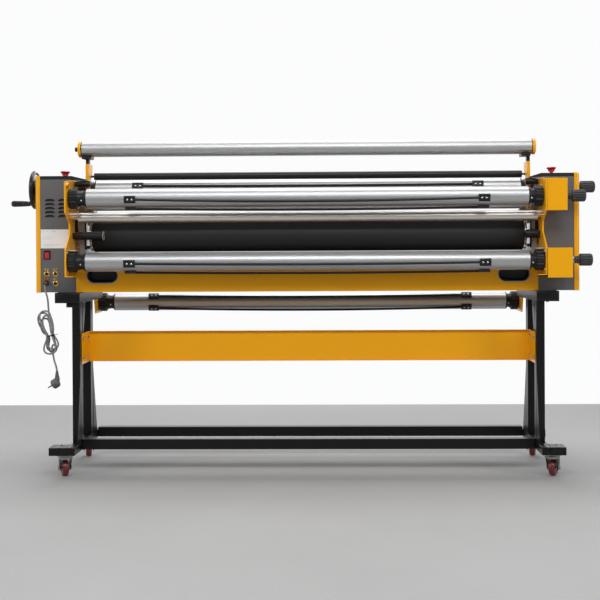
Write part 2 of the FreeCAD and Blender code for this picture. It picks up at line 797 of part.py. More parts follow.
def gearMotor():
    y, z = motor_axis
    case = box(972, 1034, y - 42, y + 42, z - 42, z + 42)
    can = cylinderY(1003, y + 42, y + 165, z, 30.0)
    foot = box(972, 1034, y - 30, y + 150, body_bottom + sheet, z - 42)
    return case.multiFuse([can, foot]).removeSplitter().cut(cylinderX(971, 1000, y, z, 8.0 + running_gap))


def motorPulley():
    y, z = motor_axis
    wheel = cylinderX(belt_x[0] - 2, belt_x[1] + 2, y, z, motor_pulley_radius)
    return wheel.fuse(cylinderX(belt_x[1] + 2, 999, y, z, 8.0)).removeSplitter()


def beltOutline(grow):
    """The outer hull of two circles of the pulleys' radii plus grow, as a solid along X."""
    x0, x1 = belt_x
    y0, z0 = lower_roller[0], lower_roller[1]
    y1 = motor_axis[0]
    big = roller_pulley_radius + grow
    small = motor_pulley_radius + grow
    lean = math.asin((big - small) / (y1 - y0))
    touch = []
    for y, radius in ((y0, big), (y1, small)):
        touch.append((y + radius * math.sin(lean), radius * math.cos(lean)))
    outline = [(touch[0][0], z0 + touch[0][1]), (touch[1][0], z0 + touch[1][1]),
               (touch[1][0], z0 - touch[1][1]), (touch[0][0], z0 - touch[0][1])]
    hull = plateX(x0, x1, outline)
    return hull.multiFuse([cylinderX(x0, x1, y0, z0, big), cylinderX(x0, x1, y1, z0, small)]).removeSplitter()


def driveBelt():
    return beltOutline(belt_gap + belt_thickness).cut(beltOutline(belt_gap))


# ---- mains cord ----

drop_route = [(-1024, 51.0, 735.5), (-1024, 36.0, 735.0), (-1022, 22.0, 724.0), (-1017, 17.5, 703.0),
              (-1009, 20.0, 675.0), (-1010, 28.0, 639.0)]
tail_route = [(-992, 33.0, 448.0), (-988, 32.0, 430.0), (-981, 31.0, 412.0), (-978, 31.0, 394.0)]


def smoothPath(route):
    """Straight runs joined by tangent arcs, each as large as its two runs allow."""
    points = [V(*point) for point in route]
    edges = []
    radii = []
    start = points[0]
    for before, corner, after in zip(points, points[1:], points[2:]):
        into = (corner - before).normalize()
        out = (after - corner).normalize()
        turn = into.getAngle(out)
        run = min((corner - before).Length, (after - corner).Length)
        radius = 0.45 * run / math.tan(turn / 2)
        first = corner - into * (0.45 * run)
        last = corner + out * (0.45 * run)
        inward = (out - into).normalize()
        middle = corner + inward * (radius / math.cos(turn / 2) - radius)
        edges.append(Part.LineSegment(start, first).toShape())
        edges.append(Part.Arc(first, middle, last).toShape())
        radii.append(radius)
        start = last
    edges.append(Part.LineSegment(start, points[-1]).toShape())
    return Part.Wire(edges), radii


def cordTube(route):
    wire, radii = smoothPath(route)
    way = (V(*route[1]) - V(*route[0])).normalize()
    ring = Part.Wire(Part.makeCircle(cord_diameter / 2, V(*route[0]), way))
    tube = wire.makePipeShell([ring], True, False)
    section = math.pi * cord_diameter ** 2 / 4
    print("cord radii", [round(radius, 1) for radius in radii], "length", round(wire.Length, 1),
          "volume ratio", round(tube.Volume / (section * wire.Length), 4))
    return tube


def cordHank():
    """The outer shape of the coiled cord: a long rounded bundle."""
    low = V(hank_x[0], hank_y - hank_thickness / 2, hank_z[0])
    bundle = Part.makeBox(hank_x[1] - hank_x[0], hank_thickness, hank_z[1] - hank_z[0], low)
    edges = [edge for edge in bundle.Edges if abs(edge.tangentAt(edge.FirstParameter).y) > 0.9]
    return bundle.makeFillet(34.0, edges)


def plugBody():
    """A round mains plug with a boot above it and two pins."""
    x, y, z = -985.0, 31.0, 345.0
    head = Part.makeCylinder(19.0, 30.0, V(x + 12, y, z + 7), V(-1, 0, -0.6))
    boot = Part.makeCone(8.0, 5.0, 40.0, V(x + 6, y, z + 9), V(1, 0, 40))
    body = head.fuse(boot)
    for offset in (-9.5, 9.5):
        pin = Part.makeCylinder(2.4, 19.0, V(x - 13, y + offset, z - 8), V(-1, 0, -0.6))
        body = body.fuse(pin)
    return body.removeSplitter()


# ---- nodes ----

def saveStand():
    save("stand_feet", bothSides(footRail()) + casterArms())
    save("stand_posts", standPosts() + postGussets())
    save("stand_rails", topRails() + [crossBeam(front_beam_y), crossBeam(rear_beam_y)])
    save("stretcher_panel", stretcherPanel())
    places = casterPlaces()
    save("caster_plates", [casterPlate(x, y) for x, y, turn in places.values()])
    for name, place in places.items():
        save("caster_fork_" + name, casterFork(*place))
        save("caster_wheel_" + name, casterWheel(*place))


def saveBody():
    save("side_frames", [sideFrame(*frame_left), sideFrame(*frame_right)])
    save("bearing_plates", bothSides(bearingPlate()))
    save("rear_beam", rearBeam())
    save("beam_cups", [beamCup(-hand_hole_x), beamCup(hand_hole_x)])
    save("cabinet_left", leftCabinet())
    save("cabinet_right", rightCabinet())
    left_cap = mirrored(topCap(-frame_left[0], cabinet_left_outer))
    save("top_caps", [left_cap, topCap(frame_right[1], cabinet_right_outer)])
    save("end_covers", endCovers())
    save("brake_boxes", [brakeBox(brake_upper, shafts["near_upper"]), brakeBox(brake_lower, shafts["near_lower"])])
    save("roller_arms", bothSides(rollerArm()))
    save("tube_saddles", [tubeSaddle(*saddle_left), tubeSaddle(*saddle_right)])
    save("feed_table", feedTable())
    save("safety_sensors", safetySensors())


def saveRollers():
    core = rollerCore(lower_roller, -journal_end, drive_end)
    wheel = pulley(lower_roller, roller_pulley_radius, belt_x[0] - 2, belt_x[1] + 2, journal_radius)
    save("lower_roller_core", [core, wheel])
    save("lower_roller_rubber", rollerRubber(lower_roller))
    save("upper_roller_core", rollerCore(upper_roller, -journal_end, journal_end))
    save("upper_roller_rubber", rollerRubber(upper_roller))
    save("bearing_blocks", bearingBlocks())
    save("idler_roller", idler())
    save("black_roller", blackRoller())
    save("top_tube", topTube())
    save("top_tube_caps", topTubeCaps())
    for name, place in shafts.items():
        save(name + "_shaft", gripShaft(place))
        save(name + "_chucks", shaftChucks(place, shaft_turns[name]))


def saveDrive():
    save("motor_pulley", motorPulley())
    save("drive_belt", driveBelt())
    save("gear_motor", gearMotor())
    save("lift_shaft", liftShaft())
    save("handwheel", handwheel())
    save("crank_grip", crankGrip())


def saveControls():
    save("knob_near_upper", tensionKnob(shafts["near_upper"], knob_near_upper))
    save("knob_near_lower", tensionKnob(shafts["near_lower"], knob_near_lower))
    save("knob_far_upper", tensionKnob(shafts["far_upper"], knob_far_upper))
    save("estop_left", estopHead(-estop_x, 0.0))
    save("estop_right", estopHead(estop_x, 4.0))
    save("rocker_key", rockerKey())
    save("panel_fittings", [rockerBezel(), cordGland(), controlPanel()])
    save("power_sockets", [socketFitting(x, z) for x, z in sockets])


def saveCord():
    save("power_cord", [cordTube(drop_route), cordTube(tail_route)])
    save("cord_hank", cordHank())
    save("mains_plug", plugBody())


os.makedirs("parts", exist_ok=True)
saveStand()
saveBody()
saveRollers()
saveDrive()
saveControls()
saveCord()
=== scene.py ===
import bpy
import bmesh
import itertools
import json
import math
from mathutils import Matrix, Vector

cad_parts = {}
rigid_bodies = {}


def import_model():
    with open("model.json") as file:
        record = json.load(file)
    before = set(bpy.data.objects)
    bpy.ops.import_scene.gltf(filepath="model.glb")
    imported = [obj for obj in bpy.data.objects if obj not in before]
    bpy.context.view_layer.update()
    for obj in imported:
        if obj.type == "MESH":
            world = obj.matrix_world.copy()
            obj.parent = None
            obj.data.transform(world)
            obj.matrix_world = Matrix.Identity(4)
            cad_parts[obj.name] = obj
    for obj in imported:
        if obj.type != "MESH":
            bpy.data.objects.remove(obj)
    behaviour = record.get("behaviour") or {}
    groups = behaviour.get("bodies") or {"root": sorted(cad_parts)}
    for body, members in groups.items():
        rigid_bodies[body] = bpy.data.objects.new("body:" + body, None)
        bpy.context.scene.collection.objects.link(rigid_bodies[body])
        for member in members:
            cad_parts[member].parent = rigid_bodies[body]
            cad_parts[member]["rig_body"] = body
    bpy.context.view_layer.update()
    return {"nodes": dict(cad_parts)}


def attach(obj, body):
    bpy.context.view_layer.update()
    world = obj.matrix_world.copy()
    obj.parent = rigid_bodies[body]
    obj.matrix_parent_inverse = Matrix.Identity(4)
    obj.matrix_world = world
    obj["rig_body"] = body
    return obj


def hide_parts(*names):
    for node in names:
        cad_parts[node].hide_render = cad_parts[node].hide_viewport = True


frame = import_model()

nodeBody = {name: piece["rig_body"] for name, piece in frame["nodes"].items()}
print("frame loaded")

mm = 0.001
drawingShift = (20.0, -251.25, 0.0)          # the drawing's zero is mid rollers, at the near upper shaft
handed = {"left": -1, "right": 1}
shaftPlaces = {"near_upper": (0.0, 1064.0), "near_lower": (-20.0, 818.5), "far_upper": (181.0, 1107.0),
    "bottom": (555.0, 636.0)}
casterPlaces = {"front_left": (-923.0, -63.0, 24.0), "front_right": (923.0, -63.0, -28.0),
    "rear_left": (-923.0, 337.0, 12.0), "rear_right": (923.0, 337.0, -15.0)}


def at(x, y, z):
    # a point of the drawing, in metres in the frame
    return Vector((x + drawingShift[0], y + drawingShift[1], z + drawingShift[2])) * mm


# camera, lights and floor

cameraSetup = {"place": (84.0, -4235.0, 876.0), "lens": 66.0, "left": 1.2, "down": 0.5, "roll": -0.30,
    "shift": (-0.0095, -0.074)}


def makeCamera(setup):
    data = bpy.data.cameras.new("camera")
    data.lens = setup["lens"]
    data.sensor_width = 36.0
    data.clip_end = 100.0
    data.shift_x, data.shift_y = setup["shift"]
    camera = bpy.data.objects.new("camera", data)
    turn = Matrix.Rotation(math.radians(setup["left"]), 4, "Z")
    tip = Matrix.Rotation(math.radians(90 - setup["down"]), 4, "X")
    roll = Matrix.Rotation(math.radians(setup["roll"]), 4, "Z")
    camera.matrix_world = Matrix.Translation(at(*setup["place"])) @ turn @ tip @ roll
    bpy.context.scene.collection.objects.link(camera)
    bpy.context.scene.camera = camera


makeCamera(cameraSetup)


def addNode(tree, kind, **settings):
    node = tree.nodes.new(kind)
    for key, value in settings.items():
        if key in node.inputs:
            node.inputs[key].default_value = value
        else:
            setattr(node, key, value)
    return node


studio = {
    "softboxes": [
        # place, aim, width, height, watts
        ((0.2, -3.6, 3.6), (0.0, 0.0, 0.8), 3.6, 1.4, 95.0),
        ((-3.4, -2.2, 1.9), (0.0, 0.0, 0.9), 1.2, 2.4, 38.0),
        ((3.4, -2.2, 1.9), (0.0, 0.0, 0.9), 1.2, 2.4, 38.0),
        ((0.0, 0.6, 3.9), (0.0, 0.0, 0.8), 3.4, 1.6, 70.0),
        ((0.0, 3.4, 2.4), (0.0, 0.0, 0.8), 3.2, 1.4, 45.0),
    ],
    "worldRamp": [(0.30, 0.13), (0.80, 0.97)], "worldStrength": 1.0,
}


def makeStudio(setup):
    for number, (place, aim, width, height, watts) in enumerate(setup["softboxes"]):
        data = bpy.data.lights.new("softbox%d" % number, "AREA")
        data.shape = "RECTANGLE"
        data.size = width
        data.size_y = height
        data.energy = watts
        lamp = bpy.data.objects.new("softbox%d" % number, data)
        look = (Vector(aim) - Vector(place)).to_track_quat("-Z", "Y").to_matrix().to_4x4()
        lamp.matrix_world = Matrix.Translation(Vector(place)) @ look
        bpy.context.scene.collection.objects.link(lamp)
    world = bpy.data.worlds.new("studio")
    world.use_nodes = True
    tree = world.node_tree
    background = tree.nodes["Background"]
    background.inputs["Strength"].default_value = setup["worldStrength"]
    # the room is bright behind the machine and dim on the camera's side
    way = tree.nodes.new("ShaderNodeTexCoord")
    split = tree.nodes.new("ShaderNodeSeparateXYZ")
    tree.links.new(way.outputs["Generated"], split.inputs[0])
    ramp = tree.nodes.new("ShaderNodeValToRGB")
    ramp.color_ramp.interpolation = "EASE"
    for element, (place, level) in zip(ramp.color_ramp.elements, setup["worldRamp"]):
        element.position = place
        element.color = (level, level * 1.003, level * 1.008, 1.0)
    shift = addNode(tree, "ShaderNodeMapRange")
    shift.inputs["From Min"].default_value = -1.0
    tree.links.new(split.outputs["Y"], shift.inputs["Value"])
    tree.links.new(shift.outputs[0], ramp.inputs["Fac"])
    tree.links.new(ramp.outputs["Color"], background.inputs["Color"])
    bpy.context.scene.world = world


makeStudio(studio)
bpy.context.scene.view_settings.view_transform = "Standard"


# shader groups: each puts out masks, colours or normals only

def socketIn(tree, kind, name, value):
    made = tree.interface.new_socket(name=name, in_out="INPUT", socket_type=kind)
    made.default_value = value


def newGroup(name, inputs, outputs):
    tree = bpy.data.node_groups.new(name, "ShaderNodeTree")
    for kind, label, value in inputs:
        socketIn(tree, kind, label, value)
    for kind, label in outputs:
        tree.interface.new_socket(name=label, in_out="OUTPUT", socket_type=kind)
    return tree, tree.nodes.new("NodeGroupInput"), tree.nodes.new("NodeGroupOutput")


def feed(tree, socket, value):
    # a number sets the socket, and another node's output is linked to it
    if isinstance(value, (int, float)):
        socket.default_value = value
    else:
        tree.links.new(value, socket)


def mathNode(tree, operation, first, second, clamped=False):
    node = tree.nodes.new("ShaderNodeMath")
    node.operation = operation
    node.use_clamp = clamped
    feed(tree, node.inputs[0], first)
    feed(tree, node.inputs[1], second)
    return node.outputs[0]


# the colour sockets of a mix node have no names of their own
mixSockets = {"amount": 0, "first": 6, "second": 7, "result": 2}


def mixNode(tree, amount, first, second, blend="MIX"):
    node = tree.nodes.new("ShaderNodeMix")
    node.data_type = "RGBA"
    node.blend_type = blend
    feed(tree, node.inputs[mixSockets["amount"]], amount)
    feed(tree, node.inputs[mixSockets["first"]], first)
    feed(tree, node.inputs[mixSockets["second"]], second)
    return node.outputs[mixSockets["result"]]


def rangeNode(tree, value, low, high):
    node = tree.nodes.new("ShaderNodeMapRange")
    node.inputs["To Min"].default_value = low
    node.inputs["To Max"].default_value = high
    tree.links.new(value, node.inputs["Value"])
    return node.outputs[0]


def objectPlace(tree, stretch):
    # Object coordinates, stretched by three scales
    place = tree.nodes.new("ShaderNodeTexCoord")
    node = tree.nodes.new("ShaderNodeVectorMath")
    node.operation = "MULTIPLY"
    tree.links.new(place.outputs["Object"], node.inputs[0])
    tree.links.new(stretch, node.inputs[1])
    return node.outputs[0]


def grainGroup():
    # fine grain from Object coordinates: a height and a light-dark mask, stretched by three scales
    tree, given, made = newGroup("grain", [("NodeSocketVector", "Stretch", (1.0, 1.0, 1.0)),
        ("NodeSocketFloat", "Scale", 400.0), ("NodeSocketFloat", "Detail", 3.0),
        ("NodeSocketFloat", "Contrast", 1.0)], [("NodeSocketFloat", "Height"), ("NodeSocketFloat", "Mask")])
    noise = tree.nodes.new("ShaderNodeTexNoise")
    tree.links.new(objectPlace(tree, given.outputs["Stretch"]), noise.inputs["Vector"])
    tree.links.new(given.outputs["Scale"], noise.inputs["Scale"])
    tree.links.new(given.outputs["Detail"], noise.inputs["Detail"])
    centred = mathNode(tree, "SUBTRACT", noise.outputs["Fac"], 0.5)
    scaled = mathNode(tree, "MULTIPLY", centred, given.outputs["Contrast"])
    lifted = mathNode(tree, "ADD", scaled, 0.5, clamped=True)
    tree.links.new(noise.outputs["Fac"], made.inputs["Height"])
    tree.links.new(lifted, made.inputs["Mask"])
    return tree


def dustGroup():
    # settled dust: more on faces that look up, broken by soft clouds
    tree, given, made = newGroup("dust", [("NodeSocketColor", "Colour", (0.5, 0.5, 0.5, 1.0)),
        ("NodeSocketColor", "Dust", (0.5, 0.48, 0.45, 1.0)), ("NodeSocketFloat", "Amount", 0.15)],
        [("NodeSocketColor", "Colour"), ("NodeSocketFloat", "Mask")])
    shape = tree.nodes.new("ShaderNodeNewGeometry")
    split = tree.nodes.new("ShaderNodeSeparateXYZ")
    tree.links.new(shape.outputs["Normal"], split.inputs[0])
    upward = tree.nodes.new("ShaderNodeMapRange")
    upward.inputs["From Min"].default_value = 0.2
    tree.links.new(split.outputs["Z"], upward.inputs["Value"])
    place = tree.nodes.new("ShaderNodeTexCoord")
    clouds = addNode(tree, "ShaderNodeTexNoise", Scale=14.0, Detail=5.0)
    tree.links.new(place.outputs["Object"], clouds.inputs["Vector"])
    patch = mathNode(tree, "MULTIPLY", upward.outputs[0], clouds.outputs["Fac"])
    amount = mathNode(tree, "MULTIPLY", patch, given.outputs["Amount"])
    dusted = mixNode(tree, amount, given.outputs["Colour"], given.outputs["Dust"])
    tree.links.new(dusted, made.inputs["Colour"])
    tree.links.new(amount, made.inputs["Mask"])
    return tree


def toneGroup():
    # large soft changes between a light and a dark tone
    tree, given, made = newGroup("tone", [("NodeSocketColor", "Light", (0.6, 0.6, 0.6, 1.0)),
        ("NodeSocketColor", "Dark", (0.4, 0.4, 0.4, 1.0)), ("NodeSocketVector", "Stretch", (1.0, 1.0, 1.0)),
        ("NodeSocketFloat", "Scale", 6.0)], [("NodeSocketColor", "Colour"), ("NodeSocketFloat", "Mask")])
    noise = addNode(tree, "ShaderNodeTexNoise", Detail=6.0, Roughness=0.6)
    tree.links.new(objectPlace(tree, given.outputs["Stretch"]), noise.inputs["Vector"])
    tree.links.new(given.outputs["Scale"], noise.inputs["Scale"])
    blend = mixNode(tree, noise.outputs["Fac"], given.outputs["Light"], given.outputs["Dark"])
    tree.links.new(blend, made.inputs["Colour"])
    tree.links.new(noise.outputs["Fac"], made.inputs["Mask"])
    return tree


grain = grainGroup()
dust = dustGroup()
tone = toneGroup()


def useGroup(tree, group, **values):
    node = tree.nodes.new("ShaderNodeGroup")
    node.node_tree = group
    for key, value in values.items():
        node.inputs[key].default_value = (*value, 1.0) if key in ("Light", "Dark", "Dust",
            "Colour") else value
    return node


def finish(name, light, dark, roughness, metallic=0.0, toneScale=6.0, toneStretch=(1, 1, 1),
        grainScale=500.0, grainStretch=(1, 1, 1), grainDepth=0.1, grainTone=0.0, roughSpread=0.06, coat=0.0,
        coatRoughness=0.1, dustAmount=0.1, specular=0.5, distance=0.0004):
    # one finish: two tones, a grain that bumps and roughens, and settled dust
    material = bpy.data.materials.new(name)
    material.use_nodes = True
    tree = material.node_tree
    shader = tree.nodes["Principled BSDF"]
    for label, value in (("Metallic", metallic), ("Coat Weight", coat), ("Coat Roughness", coatRoughness),
            ("Specular IOR Level", specular)):
        shader.inputs[label].default_value = value
    colours = useGroup(tree, tone, Light=light, Dark=dark, Stretch=toneStretch, Scale=toneScale)
    grains = useGroup(tree, grain, Stretch=grainStretch, Scale=grainScale, Contrast=1.6)
    base = colours.outputs["Colour"]
    if grainTone:
        shade = rangeNode(tree, grains.outputs["Mask"], 1.0 - grainTone, 1.0 + grainTone)
        base = mixNode(tree, 1.0, base, shade, "MULTIPLY")
    dusty = useGroup(tree, dust, Amount=dustAmount)
    tree.links.new(base, dusty.inputs["Colour"])
    tree.links.new(dusty.outputs["Colour"], shader.inputs["Base Color"])
    rough = rangeNode(tree, grains.outputs["Mask"], max(0.02, roughness - roughSpread),
        min(1.0, roughness + roughSpread))
    tree.links.new(mathNode(tree, "ADD", rough, dusty.outputs["Mask"]), shader.inputs["Roughness"])
    bump = addNode(tree, "ShaderNodeBump", Strength=grainDepth, Distance=distance)
    tree.links.new(grains.outputs["Height"], bump.inputs["Height"])
    tree.links.new(bump.outputs["Normal"], shader.inputs["Normal"])
    return material


finishes = {
    "goldPaint": finish("gold_paint", (0.93, 0.43, 0.003), (0.87, 0.38, 0.002), 0.32, toneScale=2.5,
        grainScale=420, grainDepth=0.10, grainTone=0.03, roughSpread=0.05, coat=0.22, coatRoughness=0.12,
        dustAmount=0.015, specular=0.3),
    "cabinetGrey": finish("cabinet_grey", (0.135, 0.136, 0.140), (0.112, 0.113, 0.117), 0.50,
        grainScale=1500, grainDepth=0.55, grainTone=0.25, roughSpread=0.1, dustAmount=0.06, specular=0.35),
    "frameBlack": finish("frame_black", (0.007, 0.007, 0.0075), (0.004, 0.004, 0.0045), 0.34,
        grainScale=1100, grainDepth=0.35, grainTone=0.14, roughSpread=0.08, dustAmount=0.03, specular=0.3),
    "capBlack": finish("cap_black", (0.018, 0.018, 0.019), (0.012, 0.012, 0.013), 0.42, grainScale=1300,
        grainDepth=0.4, grainTone=0.15, dustAmount=0.04, specular=0.35),
    "shaftAluminium": finish("shaft_aluminium", (0.60, 0.605, 0.61), (0.52, 0.525, 0.53), 0.46, 1.0,
        toneScale=2.2, toneStretch=(0.25, 1, 1), grainScale=1400, grainStretch=(0.0, 1, 1), grainDepth=0.22,
        grainTone=0.10, roughSpread=0.07, dustAmount=0.02, distance=0.0001),
    "idlerSteel": finish("idler_steel", (0.84, 0.80, 0.75), (0.74, 0.70, 0.655), 0.36, 1.0, toneScale=2,
        grainScale=1100, grainStretch=(1, 0.0, 0.0), grainDepth=0.16, grainTone=0.07, roughSpread=0.06,
        dustAmount=0.02, distance=0.0001),
    "groundSteel": finish("ground_steel", (0.72, 0.72, 0.72), (0.56, 0.56, 0.57), 0.30, 1.0, toneScale=12,
        grainScale=700, grainStretch=(1, 0.05, 1), grainDepth=0.2, grainTone=0.1, roughSpread=0.1,
        dustAmount=0.05),
    "plateSteel": finish("plate_steel", (0.40, 0.40, 0.405), (0.32, 0.32, 0.325), 0.42, 0.85, toneScale=9,
        grainScale=900, grainStretch=(1, 0.02, 1), grainDepth=0.2, grainTone=0.08, dustAmount=0.04),
    "rollerRubber": finish("roller_rubber", (0.022, 0.022, 0.023), (0.015, 0.015, 0.016), 0.48, toneScale=4,
        toneStretch=(0.5, 1, 1), grainScale=1300, grainStretch=(1, 0.05, 0.05), grainDepth=0.25,
        grainTone=0.12, roughSpread=0.08, dustAmount=0.03, specular=0.35),
    "blackSkin": finish("black_skin", (0.014, 0.014, 0.015), (0.009, 0.009, 0.010), 0.36, grainScale=1000,
        grainStretch=(0.2, 1, 1), grainDepth=0.2, grainTone=0.1, dustAmount=0.03, specular=0.35),
    "hubPlastic": finish("hub_plastic", (0.013, 0.013, 0.014), (0.008, 0.008, 0.009), 0.38, grainScale=1500,
        grainDepth=0.4, grainTone=0.18, dustAmount=0.03, specular=0.35),
    "knobPlastic": finish("knob_plastic", (0.045, 0.045, 0.047), (0.032, 0.032, 0.034), 0.40,
        grainScale=1600, grainDepth=0.4, grainTone=0.15, dustAmount=0.03, specular=0.4),
    "redGloss": finish("red_gloss", (0.62, 0.020, 0.025), (0.46, 0.012, 0.016), 0.25, grainScale=900,
        grainDepth=0.06, coat=0.4, dustAmount=0.03),
    "brass": finish("brass", (0.85, 0.60, 0.22), (0.66, 0.43, 0.14), 0.24, 1.0, toneScale=60,
        grainScale=1200, grainDepth=0.12, grainTone=0.1, dustAmount=0.02),
    "zinc": finish("zinc", (0.52, 0.51, 0.48), (0.36, 0.35, 0.33), 0.32, 0.95, toneScale=90, grainScale=900,
        grainDepth=0.15, grainTone=0.15, roughSpread=0.12, dustAmount=0.08),
    "boltSteel": finish("bolt_steel", (0.78, 0.78, 0.79), (0.55, 0.55, 0.56), 0.22, 1.0, toneScale=150,
        grainScale=1800, grainDepth=0.1, grainTone=0.1, dustAmount=0.03),
    "copperBolt": finish("copper_bolt", (0.78, 0.36, 0.10), (0.60, 0.26, 0.07), 0.24, 0.9, toneScale=150,
        grainScale=1500, grainDepth=0.1, grainTone=0.1, dustAmount=0.02),
    "maroonWheel": finish("maroon_wheel", (0.20, 0.020, 0.024), (0.12, 0.012, 0.015), 0.33, toneScale=30,
        grainScale=900, grainDepth=0.2, grainTone=0.12, coat=0.2, dustAmount=0.15),
    "cordGrey": finish("cord_grey", (0.27, 0.27, 0.26), (0.20, 0.20, 0.195), 0.48, toneScale=40,
        grainScale=2500, grainDepth=0.2, grainTone=0.12, dustAmount=0.05),
    "plugGrey": finish("plug_grey", (0.15, 0.15, 0.148), (0.10, 0.10, 0.10), 0.45, toneScale=60,
        grainScale=2200, grainDepth=0.3, grainTone=0.15, dustAmount=0.05),
    "beltRubber": finish("belt_rubber", (0.02, 0.02, 0.02), (0.012, 0.012, 0.012), 0.6, grainScale=1500,
        grainDepth=0.4, grainTone=0.15, dustAmount=0.1),
    "labelWhite": finish("label_white", (0.86, 0.86, 0.86), (0.80, 0.80, 0.80), 0.40, toneScale=20,
        grainScale=2500, grainDepth=0.05, grainTone=0.02, dustAmount=0.0),
    "printFaint": finish("print_faint", (0.62, 0.62, 0.63), (0.50, 0.50, 0.51), 0.5, toneScale=400,
        grainScale=2500, grainDepth=0.02, grainTone=0.05, dustAmount=0.0),
    "gussetGrey": finish("gusset_grey", (0.34, 0.335, 0.37), (0.26, 0.255, 0.285), 0.5, 0.3, toneScale=20,
        grainScale=1200, grainDepth=0.25, grainTone=0.1, dustAmount=0.05),
    "screenGlass": finish("screen_glass", (0.012, 0.014, 0.018), (0.008, 0.009, 0.012), 0.08, toneScale=30,
        grainScale=600, grainDepth=0.01, coat=0.6, coatRoughness=0.03, dustAmount=0.02),
    "wheelGloss": finish("wheel_gloss", (0.015, 0.015, 0.016), (0.010, 0.010, 0.011), 0.30, toneScale=12,
        grainScale=700, grainDepth=0.08, roughSpread=0.05, coat=0.15, coatRoughness=0.16, specular=0.35,
        dustAmount=0.04),
    "printGrey": finish("print_grey", (0.42, 0.42, 0.43), (0.30, 0.30, 0.31), 0.5, toneScale=400,
        grainScale=2500, grainDepth=0.02, grainTone=0.05, dustAmount=0.0),
    "lipGrey": finish("lip_grey", (0.34, 0.34, 0.35), (0.26, 0.26, 0.27), 0.4, toneScale=30,
        grainScale=2000, grainDepth=0.2, grainTone=0.1, dustAmount=0.03),
    # pale pinkish colour for the bracket shelves: painted reflection, the bright light on their undersides
    # put into their paint
    "paintedReflectionPale": finish("painted_reflection_pale", (0.62, 0.58, 0.54), (0.52, 0.49, 0.46), 0.45, toneScale=10,
        grainScale=1200, grainDepth=0.3, grainTone=0.08, dustAmount=0.06),
    "floorPale": finish("floor_pale", (0.40, 0.40, 0.40), (0.33, 0.33, 0.33), 0.85, toneScale=1.2,
        grainScale=220, grainDepth=0.35, grainTone=0.10, dustAmount=0.0, distance=0.002),
}
print("finishes made", len(finishes))


# the floor stops a little way behind the machine, against the bright room
floorSize = {"half": 14.0, "back": 1.58}


def makeFloor(setup):
    shape = bmesh.new()
    bmesh.ops.create_grid(shape, x_segments=1, y_segments=1, size=setup["half"])
    bmesh.ops.translate(shape, vec=(0, setup["back"] - setup["half"], 0), verts=shape.verts)
    mesh = bpy.data.meshes.new("floor")
    shape.to_mesh(mesh)
    shape.free()
    floor = bpy.data.objects.new("floor", mesh)
    floor.data.materials.append(finishes["floorPale"])
    bpy.context.scene.collection.objects.link(floor)


makeFloor(floorSize)


# making pieces: every shape is drawn in millimetres like the machine's drawing, then placed in the frame

def smoothByAngle(shape, angle):
    limit = math.radians(angle)
    for face in shape.faces:
        face.smooth = True
    for edge in shape.edges:
        edge.smooth = len(edge.link_faces) == 2 and edge.calc_face_angle(0.0) < limit


def addPiece(name, shape, body, finishName, replaced=(), angle=32.0, placed=False):
    if not placed:
        bmesh.ops.transform(shape, matrix=Matrix.Scale(mm, 4) @ Matrix.Translation(Vector(drawingShift)),
            verts=shape.verts)
    smoothByAngle(shape, angle)
    mesh = bpy.data.meshes.new(name)
    shape.to_mesh(mesh)
    shape.free()
    piece = bpy.data.objects.new(name, mesh)
    bpy.context.scene.collection.objects.link(piece)
    piece.data.materials.append(finishes[finishName])
    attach(piece, body)
    if replaced:
        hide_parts(*replaced)
    return piece


# weld is in metres, the angles are in degrees
edgeRound = {"weld": 2e-6, "flat": 0.5, "segments": 2, "limit": 40.0}


def rounded(node, finishName, width):
    # a CAD node's copy, welded, with its flat faces joined and its edges rounded
    shape = bmesh.new()
    shape.from_mesh(frame["nodes"][node].data)
    bmesh.ops.remove_doubles(shape, verts=shape.verts, dist=edgeRound["weld"])
    bmesh.ops.dissolve_limit(shape, angle_limit=math.radians(edgeRound["flat"]), verts=shape.verts,
        edges=shape.edges, use_dissolve_boundaries=False)
    piece = addPiece(node + "_shell", shape, nodeBody[node], finishName, (node,), placed=True)
    bevel = piece.modifiers.new("edges", "BEVEL")
    bevel.width = width * mm
    bevel.segments = edgeRound["segments"]
    bevel.limit_method = "ANGLE"
    bevel.angle_limit = math.radians(edgeRound["limit"])


def lathe(profile, steps=64, centre=(0.0, 0.0, 0.0), along="X"):
    # spin an outline of (distance along, radius) points about an axis
    shape = bmesh.new()
    verts = [shape.verts.new((x, 0.0, r)) for x, r in profile]
    edges = [shape.edges.new(pair) for pair in zip(verts, verts[1:])]
    bmesh.ops.spin(shape, geom=verts + edges, cent=(0, 0, 0), axis=(1, 0, 0), angle=2 * math.pi,
        steps=steps, use_merge=True)
    bmesh.ops.remove_doubles(shape, verts=shape.verts, dist=1e-4)
    aimed(shape, along)
    bmesh.ops.translate(shape, vec=Vector(centre), verts=shape.verts)
    bmesh.ops.recalc_face_normals(shape, faces=shape.faces)
    return shape


def prism(outline, x0, x1, along="X"):
    # extrude a closed outline of two coordinates along an axis
    order = {"X": lambda a, b: (x0, a, b), "Y": lambda a, b: (a, x0, b), "Z": lambda a, b: (a, b, x0)}[along]
    push = {"X": (x1 - x0, 0, 0), "Y": (0, x1 - x0, 0), "Z": (0, 0, x1 - x0)}[along]
    shape = bmesh.new()
    face = shape.faces.new([shape.verts.new(order(a, b)) for a, b in outline])
    made = bmesh.ops.extrude_face_region(shape, geom=[face])
    moved = [item for item in made["geom"] if isinstance(item, bmesh.types.BMVert)]
    bmesh.ops.translate(shape, vec=Vector(push), verts=moved)
    bmesh.ops.recalc_face_normals(shape, faces=shape.faces)
    return shape


